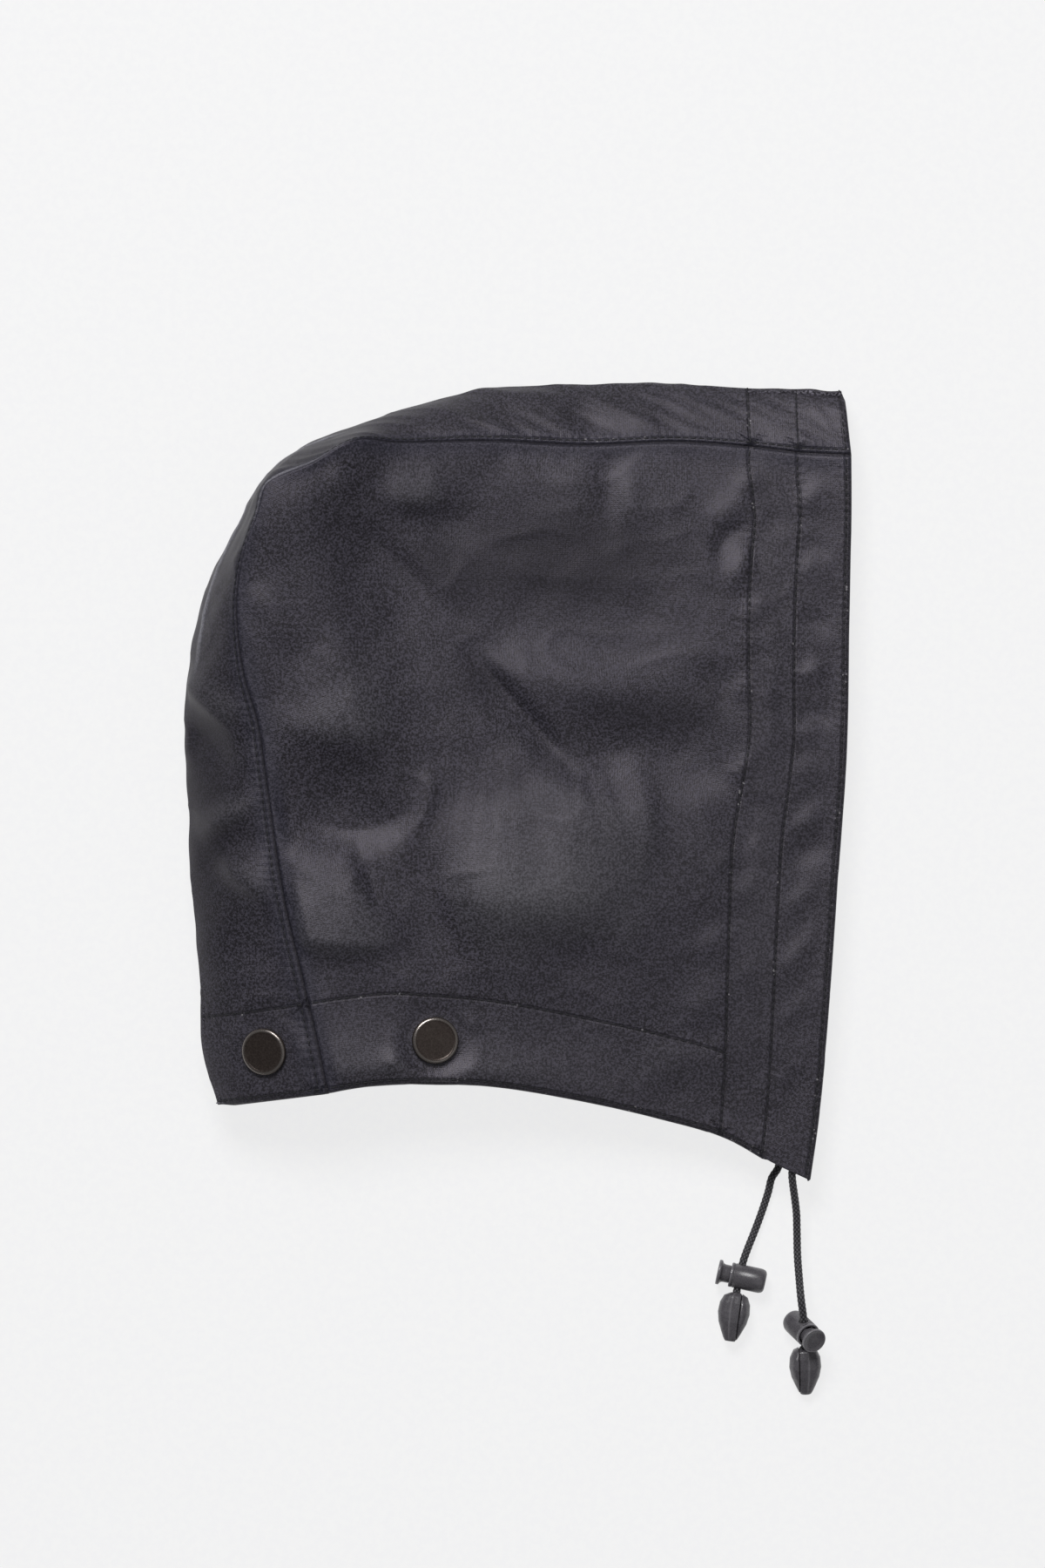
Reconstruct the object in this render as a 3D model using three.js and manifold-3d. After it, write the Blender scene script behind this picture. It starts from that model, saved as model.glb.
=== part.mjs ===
// Detachable rain hood of waxed cotton, lying on its left side as it comes off the coat.
// Millimetres. +Z is up from the surface, +X points out of the face opening and +Y to the crown.
// The origin is under the middle of the hood's box, on the surface.
import * as THREE from 'three';
import { mergeVertices } from 'three/addons/utils/BufferGeometryUtils.js';
import Module from 'manifold-3d';

const wasm = await Module();
wasm.setup();

// Driving dimensions of the hood
const hoodDepth = 252.8;      // back of the head to the face edge
const hoodHeight = 302.6;     // crown to the chin corner
const hoodLoft = 54;          // height of the upper seam above the surface at the crown corner
const clothWall = 1.2;        // waxed cotton with its wax and turned seam
const facingWall = 1.2;       // second ply inside the face edge and the neck
const plyGap = 0.3;           // between plies, and between panels along a seam
const bellyRise = 5;          // how far the middle of the side panel stands above its edges
const foldRise = 4.2;         // height of the boldest fold

// Driving dimensions of the drawcord channel and the neck band
const channelWidth = 20.4;    // face edge to the channel's inner stitch line
const casingWidth = 38.5;     // face edge to the outer stitch line, where the casing ply ends
const neckBandNape = 35;      // hem to the neck band's stitch line, at the nape
const neckBandChin = 31;      // the same, at the face edge

// Driving dimensions of the press studs
const studCapRadius = 8.9;
const studCapHeight = 1.9;
const studPostRadius = 2;
const studSocketRadius = 6.2;
const studSocketHeight = 3;
const studBoreRadius = 2.9;   // takes the ball of the stud on the coat's collar
const studBow = 0.6;          // room for the cloth's curve under each plate of a stud
const studHoleClearance = 0.4;
const sideStudFromSeam = 43.5;
const napeStudFromSeam = 18.3;
const studLiftReach = 24;     // how far round a cap the cloth under the hood is held up

// Driving dimensions of the drawcord, its locks and its ends
const cordDiameter = 3;
const cordClearance = 0.3;
const barrelRadius = 4.7;
const barrelLength = 13.7;
const barrelWall = 1;
const barrelRound = 1.1;
const cordHoleFromMouth = 3.8;
const buttonTravel = 2.4;
const buttonNeck = 3.7;       // stem that shows between the barrel and the button's flange
const buttonFlare = 1;        // height over which the neck widens to the flange
const buttonStemLength = 11.5;
const buttonFlangeRadius = 4.75;
const buttonFlangeHeight = 1.2;
const slideClearance = 0.3;
const cordEndLength = 18.6;
const cordEndWidth = 12.2;
const cordEndHeight = 9.6;
const cordEndSocket = 4;      // depth of the cord's hole in its end piece
const clipPlane = 2.1;        // from the middle of an end piece to the parting of its clip
const partingGap = 0.3;

// How many cells each wall is divided into
const bodyColumns = 14;
const casingColumns = 2;
const channelColumns = 4;
const neckRows = 3;
const mouthRows = 1;          // rows over which the drawcord's thickness holds its channel open
const bodyRows = 17;
const stripCells = 8;
const roundSides = 14;
const cordSides = 8;

// Ribs of the centre panel from the nape over the crown to the brow. Each row holds the seam on the upper
// side panel and the outline beyond it, as shares of the hood's depth and height, and the seam's share of
// the loft.
const ribs = [
  // seamAlong, seamUp, edgeAlong, edgeUp, loft
  [0.2155, 0.1120, 0.0490, 0.0930, 0.78],
  [0.1945, 0.1960, 0.0240, 0.1940, 0.80],
  [0.1790, 0.2510, 0.0235, 0.2490, 0.82],
  [0.1490, 0.3590, 0.0120, 0.3580, 0.84],
  [0.1230, 0.5040, 0.0035, 0.4940, 0.86],
  [0.1100, 0.5760, 0.0000, 0.5700, 0.88],
  [0.0890, 0.6360, 0.0045, 0.6360, 0.91],
  [0.0780, 0.7230, 0.0250, 0.7230, 0.95],
  [0.0880, 0.7870, 0.0560, 0.7870, 0.98],
  [0.1080, 0.8350, 0.0900, 0.8370, 1.00],
  [0.1240, 0.8740, 0.1170, 0.8780, 1.00],
  [0.1950, 0.9020, 0.1860, 0.9260, 0.99],
  [0.2560, 0.9300, 0.2620, 0.9480, 0.93],
  [0.3200, 0.9270, 0.3380, 0.9720, 0.77],
  [0.4540, 0.9290, 0.4540, 0.9950, 0.61],
  [0.6000, 0.9240, 0.6000, 1.0000, 0.50],
  [0.7400, 0.9280, 0.7420, 0.9995, 0.43],
  [0.8640, 0.9210, 0.8590, 0.9950, 0.39],
  [0.9210, 0.9150, 0.9180, 0.9950, 0.375],
  [1.0000, 0.9120, 0.9890, 0.9935, 0.37],
];
const crownRib = 10;

// Neck hem between the nape seam and the chin corner, and face edge between the chin corner and the brow.
const hemRows = [
  // along, up, loft
  [0.2820, 0.1200, 0.74],
  [0.3760, 0.1230, 0.69],
  [0.4700, 0.1190, 0.62],
  [0.6000, 0.1010, 0.52],
  [0.7200, 0.0780, 0.43],
  [0.8120, 0.0550, 0.37],
  [0.8820, 0.0220, 0.34],
];
const chinCorner = [0.9380, 0.0000, 0.33];
const faceRows = [
  [0.9530, 0.0880, 0.34],
  [0.9660, 0.2080, 0.36],
  [0.9800, 0.3740, 0.38],
  [0.9930, 0.5340, 0.39],
  [0.9970, 0.7000, 0.385],
  [1.0000, 0.8500, 0.375],
];

// Folds of the upper side panel: a ridge where the rise is positive, a valley where it is negative.
const folds = [
  // fromAlong, fromUp, toAlong, toUp, half width as a share of the depth, share of foldRise
  [0.16, 0.82, 0.40, 0.70, 0.050, -0.60],
  [0.33, 0.76, 0.62, 0.48, 0.040, -0.95],
  [0.26, 0.84, 0.50, 0.845, 0.040, -0.75],
  [0.32, 0.89, 0.56, 0.89, 0.035, 0.50],
  [0.655, 0.91, 0.655, 0.80, 0.028, 0.50],
  [0.20, 0.55, 0.26, 0.45, 0.090, -1.00],
  [0.34, 0.55, 0.34, 0.42, 0.030, 0.70],
  [0.20, 0.38, 0.27, 0.33, 0.050, 0.80],
  [0.27, 0.39, 0.30, 0.33, 0.025, -0.60],
  [0.40, 0.42, 0.62, 0.42, 0.070, 0.70],
  [0.56, 0.57, 0.82, 0.61, 0.045, -0.80],
  [0.50, 0.66, 0.72, 0.62, 0.050, 0.50],
  [0.74, 0.48, 0.84, 0.46, 0.030, -0.50],
  [0.72, 0.20, 0.84, 0.26, 0.030, 0.40],
];

// Sections of a cord end from the cord to the tip.
const cordEndRows = [
  // share of the length, of half the width, of half the height
  [0.00, 0.42, 0.45],
  [0.07, 0.74, 0.72],
  [0.22, 0.95, 0.93],
  [0.42, 1.00, 1.00],
  [0.62, 0.88, 0.90],
  [0.82, 0.62, 0.64],
  [1.00, 0.34, 0.36],
];

// The drawcord's two free ends, from the mouths of the channel to their end pieces. The points are chosen by
// eye in the hood's own frame: x and y from the middle of its box, z above the surface.
const cordRoutes = {
  left: {
    beforeLock: [[96.3, -149.8, 2.6], [95, -155, 1.8], [92.4, -163, 1.65], [89.8, -170, 2.1],
      [87.3, -176.2, 3.6]],
    lock: [84.2, -187.1, 4.9],
    afterLock: [[82.4, -196.9, 4.95]],
  },
  right: {
    beforeLock: [[104.2, -152, 13.6], [104.9, -157, 11.6], [105.6, -163, 9.4], [105.8, -170, 8.4],
      [106, -179, 8.8], [106.6, -187.5, 11.4], [107.3, -195.5, 14.8]],
    lock: [108.5, -207.7, 10.45],
    afterLock: [[108.9, -217.3, 6.3]],
  },
};

// How each cord leaves its channel and passes through its lock: how far from the face edge, the way the
// lock's button points, the way the cord runs through the lock and the side of the end piece with the clip.
const cordEnds = {
  left: { fromFace: 13.2, button: [-0.977, 0.212, 0], through: [-0.212, -0.977, 0], clip: [1, 0, 0] },
  right: { fromFace: 7.5, button: [0.45, -0.42, 0.788], through: [0.05, -0.865, -0.49], clip: [-1, 0, 0] },
};

const share = (row) => new THREE.Vector3(
  (row[0] - 0.5) * hoodDepth, (row[1] - 0.5) * hoodHeight, row[2] * hoodLoft);

// A smooth curve through table rows, finely divided so that lengths along it are true.
function curveThrough(points) {
  const curve = new THREE.CatmullRomCurve3(points, false, 'centripetal');
  curve.arcLengthDivisions = 20 * (points.length - 1);
  return curve;
}

const seamCurve = curveThrough(ribs.map((r) => share([r[0], r[1], r[4]])));
const edgeCurve = curveThrough(ribs.map((r) => share([r[2], r[3], r[4] / 2])));
const napePoint = seamCurve.getPoint(0);
const browPoint = seamCurve.getPoint(1);
const chinPoint = share(chinCorner);
const hemCurve = curveThrough([napePoint, ...hemRows.map(share), chinPoint]);
const faceCurve = curveThrough([chinPoint, ...faceRows.map(share), browPoint]);
const seamLength = seamCurve.getLength();
const backLength = seamCurve.getLengths()[20 * crownRib];
const crownLength = seamLength - backLength;

// Splits a line of cells into stretches with true lengths at its ends: each stretch is [cells, length].
function stops(total, stretches) {
  const known = stretches.reduce((sum, [, length]) => sum + (length ?? 0), 0);
  const places = [0];
  for (const [cells, length] of stretches) {
    const start = places.at(-1);
    const step = (length ?? total - known) / cells;
    for (let k = 1; k <= cells; k++) places.push(start + k * step);
  }
  return places.map((place) => place / total);
}

const columns = bodyColumns + casingColumns + channelColumns;
const rows = neckRows + bodyRows;
const acrossStretches = [
  [bodyColumns, null], [casingColumns, casingWidth - channelWidth], [channelColumns, channelWidth]];
const crownStops = stops(crownLength, acrossStretches);
const hemStops = stops(hemCurve.getLength(), acrossStretches);
const backStops = stops(backLength, [[neckRows, neckBandNape], [bodyRows, null]]);
const faceStops = stops(faceCurve.getLength(), [[neckRows, neckBandChin], [bodyRows, null]]);

// The value of a list of stops between two whole cells.
function stopAt(list, cell) {
  const low = Math.min(Math.floor(cell), list.length - 2);
  return THREE.MathUtils.lerp(list[low], list[low + 1], cell - low);
}

// The curve parameter at a length along the seam from the nape.
const seamAt = (length) => seamCurve.getUtoTmapping(0, length);

// Height of the folds over a place on the side panel.
function foldHeight(point) {
  let height = 0;
  for (const [fromAlong, fromUp, toAlong, toUp, halfWidth, rise] of folds) {
    const from = share([fromAlong, fromUp, 0]);
    const way = share([toAlong, toUp, 0]).sub(from);
    const offset = new THREE.Vector3(point.x, point.y, 0).sub(from);
    const reach = THREE.MathUtils.clamp(offset.dot(way) / way.lengthSq(), 0, 1);
    const away = offset.sub(way.multiplyScalar(reach)).length() / (halfWidth * hoodDepth);
    height += rise * foldRise * Math.exp(-away * away * 1.6);
  }
  return height;
}

// A place on the outside of the side panel: column 0 lies on the back seam and row 0 on the neck hem.
function sidePlace(column, row) {
  const crown = seamCurve.getPoint(seamAt(backLength + stopAt(crownStops, column) * crownLength));
  const back = seamCurve.getPoint(seamAt(stopAt(backStops, row) * backLength));
  const hem = hemCurve.getPointAt(stopAt(hemStops, column));
  const face = faceCurve.getPointAt(stopAt(faceStops, row));
  const crownPoint = seamCurve.getPoint(seamAt(backLength));
  const u = column / columns;
  const v = row / rows;
  const point = new THREE.Vector3()
    .addScaledVector(hem, 1 - v).addScaledVector(crown, v)
    .addScaledVector(back, 1 - u).addScaledVector(face, u)
    .addScaledVector(napePoint, -(1 - u) * (1 - v)).addScaledVector(chinPoint, -u * (1 - v))
    .addScaledVector(crownPoint, -(1 - u) * v).addScaledVector(browPoint, -u * v);
  const fromSides = Math.min(1, 5 * u) * Math.min(1, 4 * (1 - u));
  const fromEnds = Math.min(1, 5 * v) * Math.min(1, 5 * (1 - v));
  const belly = bellyRise * Math.sin(Math.PI * u) * Math.sin(Math.PI * v);
  point.z += fromSides * fromEnds * (belly + foldHeight(point));
  return point;
}

// How far the cloth under the hood is held up by the cap of the press stud that it lies on.
const sideStudColumn = bodyColumns * sideStudFromSeam / (hemCurve.getLength() - casingWidth);
const studRow = neckRows / 2;
const sideStudPlace = sidePlace(sideStudColumn, studRow);
function studLift(point) {
  const away = Math.hypot(point.x - sideStudPlace.x, point.y - sideStudPlace.y) - studCapRadius;
  return (studCapHeight + plyGap) * (1 - THREE.MathUtils.smoothstep(away, 1, studLiftReach));
}

// The same place on the lower side panel, which lies flat.
function lowerPlace(column, row) {
  const point = sidePlace(column, row);
  point.z = studLift(point);
  return point;
}

// A place on the outside of the centre panel: station 0 lies at the brow, cell 0 on the upper seam.
function stripPlace(station, cell) {
  const length = station <= columns
    ? backLength + stopAt(crownStops, columns - station) * crownLength
    : stopAt(backStops, rows + columns - station) * backLength;
  const t = seamAt(length);
  const seam = seamCurve.getPoint(t);
  const edge = edgeCurve.getPoint(t);
  const q = cell / stripCells;
  const round = Math.sin(Math.PI * q);
  const flat = 1 - Math.abs(1 - 2 * q);
  const out = (round + flat) / 2;
  const drop = (q + (1 - Math.cos(Math.PI * q)) / 2) / 2;
  const place = seam.clone().lerp(edge, out);
  place.z = seam.z * (1 - drop);
  return place;
}

// Outward normals of a grid of places, by the differences between neighbours.
function gridNormals(places, flip) {
  const last = [places.length - 1, places[0].length - 1];
  return places.map((line, i) => line.map((_, j) => {
    const along = places[Math.min(i + 1, last[0])][j].clone().sub(places[Math.max(i - 1, 0)][j]);
    const across = line[Math.min(j + 1, last[1])].clone().sub(line[Math.max(j - 1, 0)]);
    return along.cross(across).multiplyScalar(flip ? -1 : 1).normalize();
  }));
}

// A grid of places and normals on the outside of one panel.
function panelGrid(place, lines, cells, flip) {
  const places = Array.from({ length: lines + 1 }, (_, i) =>
    Array.from({ length: cells + 1 }, (_, j) => place(i, j)));
  return { places, normals: gridNormals(places, flip), flip };
}

const upper = panelGrid(sidePlace, columns, rows, false);
const lower = panelGrid(lowerPlace, columns, rows, true);
const strip = panelGrid(stripPlace, columns + rows, stripCells, true);

// The side panel's column and row beside a station of the centre panel.
const beside = (station) => (station <= columns
  ? [columns - station, rows] : [0, rows + columns - station]);

// Both panels of a seam get the same normal there, so that their edges meet as a mitre.
for (let station = 0; station <= columns + rows; station++) {
  const [column, row] = beside(station);
  for (const [panel, cell] of [[upper, 0], [lower, stripCells]]) {
    const shared = panel.normals[column][row].clone().add(strip.normals[station][cell]).normalize();
    panel.normals[column][row].copy(shared);
    strip.normals[station][cell].copy(shared);
  }
}

// A closed wall over a grid. near and far are the depths of its two faces below the grid's places, and inset
// draws in the grid's four sides: first line, last line, first cell and last cell.
function wall({ places, normals, flip }, near, far, inset = [0, 0, 0, 0]) {
  const lines = places.length - 1;
  const cells = places[0].length - 1;
  const drawn = places.map((line) => line.map((place) => place.clone()));
  const draw = (i, j, towards, distance) => drawn[i][j].add(
    towards.clone().sub(places[i][j]).setLength(distance));
  for (let j = 0; j <= cells; j++) {
    if (inset[0]) draw(0, j, places[1][j], inset[0]);
    if (inset[1]) draw(lines, j, places[lines - 1][j], inset[1]);
  }
  for (let i = 0; i <= lines; i++) {
    if (inset[2]) draw(i, 0, places[i][1], inset[2]);
    if (inset[3]) draw(i, cells, places[i][cells - 1], inset[3]);
  }
  const positions = [];
  for (const depth of [near, far]) {
    drawn.forEach((line, i) => line.forEach((place, j) => {
      const down = typeof depth === 'function' ? depth(i, j) : depth;
      positions.push(...place.clone().addScaledVector(normals[i][j], -down).toArray());
    }));
  }
  const at = (face, i, j) => face * (lines + 1) * (cells + 1) + i * (cells + 1) + j;
  const index = [];
  const quad = (a, b, c, d) => (flip ? index.push(a, c, b, a, d, c) : index.push(a, b, c, a, c, d));
  for (let i = 0; i < lines; i++) {
    for (let j = 0; j < cells; j++) {
      quad(at(0, i, j), at(0, i + 1, j), at(0, i + 1, j + 1), at(0, i, j + 1));
      quad(at(1, i, j), at(1, i, j + 1), at(1, i + 1, j + 1), at(1, i + 1, j));
    }
    quad(at(0, i, 0), at(1, i, 0), at(1, i + 1, 0), at(0, i + 1, 0));
    quad(at(0, i, cells), at(0, i + 1, cells), at(1, i + 1, cells), at(1, i, cells));
  }
  for (let j = 0; j < cells; j++) {
    quad(at(0, 0, j), at(0, 0, j + 1), at(1, 0, j + 1), at(1, 0, j));
    quad(at(0, lines, j), at(1, lines, j), at(1, lines, j + 1), at(0, lines, j + 1));
  }
  const geometry = new THREE.BufferGeometry();
  geometry.setAttribute('position', new THREE.Float32BufferAttribute(positions, 3));
  geometry.setIndex(index);
  return geometry;
}

// Turns a geometry into a solid that can be cut, and back.
function solid(geometry) {
  const bare = geometry.clone();
  bare.deleteAttribute('normal');
  bare.deleteAttribute('uv');
  const merged = mergeVertices(bare, 1e-4);
  return new wasm.Manifold(new wasm.Mesh({
    numProp: 3,
    vertProperties: new Float32Array(merged.attributes.position.array),
    triVerts: new Uint32Array(merged.index.array),
  }));
}

function geometryOf(body) {
  const mesh = body.getMesh();
  const geometry = new THREE.BufferGeometry();
  geometry.setAttribute('position', new THREE.Float32BufferAttribute(mesh.vertProperties, 3));
  geometry.setIndex([...mesh.triVerts]);
  return geometry;
}

function cut(geometry, tools) {
  return geometryOf(tools.reduce((body, tool) => body.subtract(solid(tool)), solid(geometry)));
}

// The turn that carries +Z to a direction, and as near as it can +X to another.
function frameAt(origin, direction, side = new THREE.Vector3(1, 0, 0)) {
  const z = direction.clone().normalize();
  const x = side.clone().addScaledVector(z, -side.dot(z)).normalize();
  return new THREE.Matrix4().makeBasis(x, z.clone().cross(x), z).setPosition(origin);
}

// A closed round solid from its outline of [radius, height] pairs, from the foot up the outside.
function turned(outline, sides = roundSides) {
  return new THREE.LatheGeometry(outline.map(([r, h]) => new THREE.Vector2(r, h)), sides)
    .rotateX(Math.PI / 2);
}

const rod = (radius, length, sides = roundSides) =>
  new THREE.CylinderGeometry(radius, radius, length, sides).rotateX(Math.PI / 2);

// A place between the cells of a panel, at a depth below its outside.
function within(panel, column, row, depth) {
  const [i, j] = [Math.floor(column), Math.floor(row)];
  const blend = (values) => values[i][j].clone().lerp(values[i + 1][j], column - i)
    .lerp(values[i][j + 1].clone().lerp(values[i + 1][j + 1], column - i), row - j);
  return blend(panel.places).addScaledVector(blend(panel.normals), -depth);
}

// Materials
const paint = (color, roughness, metalness) =>
  new THREE.MeshStandardMaterial({ color, roughness, metalness });
const waxedCotton = paint(0x34333a, 0.55, 0);
const gunmetal = paint(0x2c2624, 0.35, 0.9);
const blackPlastic = paint(0x2b2a2e, 0.38, 0);
const blackCord = paint(0x222126, 0.85, 0);

const hood = new THREE.Group();
function add(name, geometry, material) {
  const mesh = new THREE.Mesh(geometry, material);
  mesh.name = name;
  hood.add(mesh);
  return mesh;
}

// A press stud sits in a hole through the cloth. Its place and normal come from the three places round it.
function studFrame(place, line, cell) {
  const step = 0.2;
  const along = place(line + step, cell).sub(place(line - step, cell));
  const across = place(line, cell + step).sub(place(line, cell - step));
  const normal = along.cross(across).normalize();
  const centre = place(line, cell);
  const outward = place === sidePlace ? normal : normal.negate();
  return frameAt(centre, outward);
}

// Where the studs sit on the centre panel: on the neck band's middle, each side of the fold.
const napeStation = columns + rows - studRow;
const stripHalf = stripPlace(napeStation, stripCells / 2).distanceTo(stripPlace(napeStation, 0));
const napeStudCell = stripCells / 2 * napeStudFromSeam / stripHalf;
const studFrames = {
  right_side_stud: studFrame(sidePlace, sideStudColumn, studRow),
  right_nape_stud: studFrame(stripPlace, napeStation, napeStudCell),
  left_nape_stud: studFrame(stripPlace, napeStation, stripCells - napeStudCell),
  left_side_stud: studFrame(lowerPlace, sideStudColumn, studRow),
};

// One press stud: cap outside the cloth, post through it and socket inside.
const studGrip = clothWall + plyGap + facingWall + 2 * plyGap + 2 * studBow;
function studGeometry() {
  const back = plyGap;
  const front = back - studGrip;
  const foot = front - studSocketHeight;
  const plate = front - studSocketHeight * 0.35;
  return turned([
    [0, plate], [studBoreRadius, plate], [studBoreRadius, foot], [studSocketRadius * 0.82, foot],
    [studSocketRadius, plate], [studSocketRadius, front], [studPostRadius, front], [studPostRadius, back],
    [studCapRadius * 0.97, back], [studCapRadius, back + studCapHeight * 0.15],
    [studCapRadius, back + studCapHeight * 0.55], [studCapRadius * 0.9, back + studCapHeight],
    [0, back + studCapHeight],
  ]);
}

for (const [name, frame] of Object.entries(studFrames)) {
  add(name, studGeometry(), gunmetal).applyMatrix4(frame);
}

// Holes for the studs' posts
const postHoles = Object.values(studFrames).map((frame) =>
  rod(studPostRadius + studHoleClearance, 4 * studGrip).applyMatrix4(frame));

// The three outer panels
const seamInset = plyGap / 2;
add('right_panel', cut(wall(upper, 0, clothWall, [seamInset, 0, 0, seamInset]), postHoles), waxedCotton);
add('left_panel', cut(wall(lower, 0, clothWall, [seamInset, 0, 0, seamInset]), postHoles), waxedCotton);
add('centre_panel', cut(wall(strip, 0, clothWall, [0, 0, seamInset, seamInset]), postHoles), waxedCotton);

// The inner plies follow the outer ones. Each gathers the grid's places along its own path.
function gather(path) {
  return {
    places: path.map((line) => line.map(([panel, i, j]) => panel.places[i][j])),
    normals: path.map((line) => line.map(([panel, i, j]) => panel.normals[i][j])),
    flip: false,
  };
}
const count = (n, from = 0) => Array.from({ length: n + 1 }, (_, k) => from + k);

// Casing of the drawcord: up the upper panel's face edge, round the brow and down the lower panel's.
const casingCells = casingColumns + channelColumns;
const casing = gather([
  ...count(rows).map((row) => count(casingCells, bodyColumns).map((column) => [upper, column, row])),
  ...count(stripCells - 2, 1).map((cell) => count(casingCells).map((k) => [strip, casingCells - k, cell])),
  ...count(rows).map((row) => count(casingCells, bodyColumns).map((column) => [lower, column, rows - row])),
]);
casing.flip = true;
function casingDepth(i, j) {
  const fromHem = Math.min(i, casing.places.length - 1 - i);
  const inChannel = j > casingColumns && j < casingCells;
  const opened = inChannel ? 1 - THREE.MathUtils.smoothstep(fromHem, mouthRows, neckRows) : 0;
  return clothWall + plyGap + opened * (cordDiameter + 2 * cordClearance - plyGap);
}
add('front_casing',
  wall(casing, casingDepth, (i, j) => casingDepth(i, j) + facingWall, [0, 0, 0, plyGap]), waxedCotton);

// Facing inside the neck hem: from the casing back along the upper panel, round the nape and forward again.
const facing = gather([
  ...count(bodyColumns).map((k) => count(neckRows).map((row) => [upper, bodyColumns - k, row])),
  ...count(stripCells - 2, 1).map((cell) =>
    count(neckRows).map((row) => [strip, columns + rows - row, cell])),
  ...count(bodyColumns).map((column) => count(neckRows).map((row) => [lower, column, row])),
]);
facing.flip = true;
const facingDepth = clothWall + plyGap;
const facingPly = wall(facing, facingDepth, facingDepth + facingWall, [2 * plyGap, 2 * plyGap, plyGap, 0]);
add('neck_facing', cut(facingPly, postHoles), waxedCotton);

// A cord lock stands along +Z round its cord, which runs along X through the origin. The barrel is open at
// the top, and the button slides down into it.
const barrelBore = barrelRadius - barrelWall;
const stemRadius = barrelBore - slideClearance;
const cordHoleRadius = cordDiameter / 2 + cordClearance;
const barrelTop = cordHoleFromMouth;
const barrelFoot = barrelTop - barrelLength;
const crossHole = (height) =>
  rod(cordHoleRadius, 4 * barrelRadius).rotateY(Math.PI / 2).translate(0, 0, height);

function barrelGeometry() {
  return cut(turned([
    [0, barrelFoot], [barrelRadius - barrelRound, barrelFoot],
    [barrelRadius - barrelRound * 0.3, barrelFoot + barrelRound * 0.3],
    [barrelRadius, barrelFoot + barrelRound], [barrelRadius, barrelTop - 0.4],
    [barrelRadius - 0.3, barrelTop], [barrelBore, barrelTop], [barrelBore, barrelFoot + barrelWall],
    [0, barrelFoot + barrelWall],
  ]), [crossHole(0)]);
}

function buttonGeometry() {
  const flange = barrelTop + buttonNeck;
  const face = flange + buttonFlangeHeight;
  const foot = flange - buttonStemLength;
  const stem = turned([
    [0, foot], [stemRadius, foot], [stemRadius, flange - buttonFlare],
    [stemRadius + 0.3 * buttonFlare, flange - 0.3 * buttonFlare], [buttonFlangeRadius, flange],
    [buttonFlangeRadius, face - 0.3], [buttonFlangeRadius - 0.3, face], [0, face],
  ]);
  const slot = new THREE.BoxGeometry(4 * barrelRadius, 2 * cordHoleRadius, buttonTravel)
    .translate(0, 0, buttonTravel / 2);
  return cut(stem, [crossHole(0), slot, crossHole(buttonTravel)]);
}

// A cord end lies along -Z from its cord's hole, in a shell and a clip that snap together round the knot.
// side is 1 for the clip and -1 for the shell.
function cordEndPart(side) {
  const ring = ([along, wide, high]) => count(roundSides - 1).map((k) => {
    const turn = 2 * Math.PI * k / roundSides;
    const squared = (value) => Math.sign(value) * Math.abs(value) ** 0.8;
    return [squared(Math.cos(turn)) * wide * cordEndWidth / 2,
      squared(Math.sin(turn)) * high * cordEndHeight / 2, -along * cordEndLength];
  });
  const rings = cordEndRows.map(ring);
  const positions = [...rings.flat(), [0, 0, 0], [0, 0, -cordEndLength]].flat();
  const index = [];
  const top = rings.length * roundSides;
  for (let k = 0; k < roundSides; k++) {
    const next = (k + 1) % roundSides;
    for (let r = 0; r < rings.length - 1; r++) {
      const [a, b] = [r * roundSides + k, r * roundSides + next];
      index.push(a, a + roundSides, b, b, a + roundSides, b + roundSides);
    }
    index.push(top, k, next, top + 1, top - roundSides + next, top - roundSides + k);
  }
  const shell = new THREE.BufferGeometry();
  shell.setAttribute('position', new THREE.Float32BufferAttribute(positions, 3));
  shell.setIndex(index);
  const away = new THREE.BoxGeometry(2 * cordEndWidth, 2 * cordEndHeight, 3 * cordEndLength)
    .translate(clipPlane - side * (cordEndWidth - partingGap / 2), 0, 0);
  const socket = rod(cordHoleRadius, 2 * cordEndSocket);
  return cut(shell, [away, socket]);
}

// A tube along a chosen route.
function cordGeometry(route) {
  const path = new THREE.CatmullRomCurve3(route, false, 'centripetal');
  const outline = new THREE.Shape(count(cordSides - 1).map((k) => new THREE.Vector2(
    Math.cos(2 * Math.PI * k / cordSides), Math.sin(2 * Math.PI * k / cordSides))
    .multiplyScalar(cordDiameter / 2)));
  const steps = Math.round(path.getLength() / (2 * cordDiameter));
  return new THREE.ExtrudeGeometry(outline, { steps: 2 * steps, extrudePath: path });
}

const cordDepth = clothWall + cordClearance + cordDiameter / 2;
const vector = (point) => new THREE.Vector3(...point);

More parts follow.
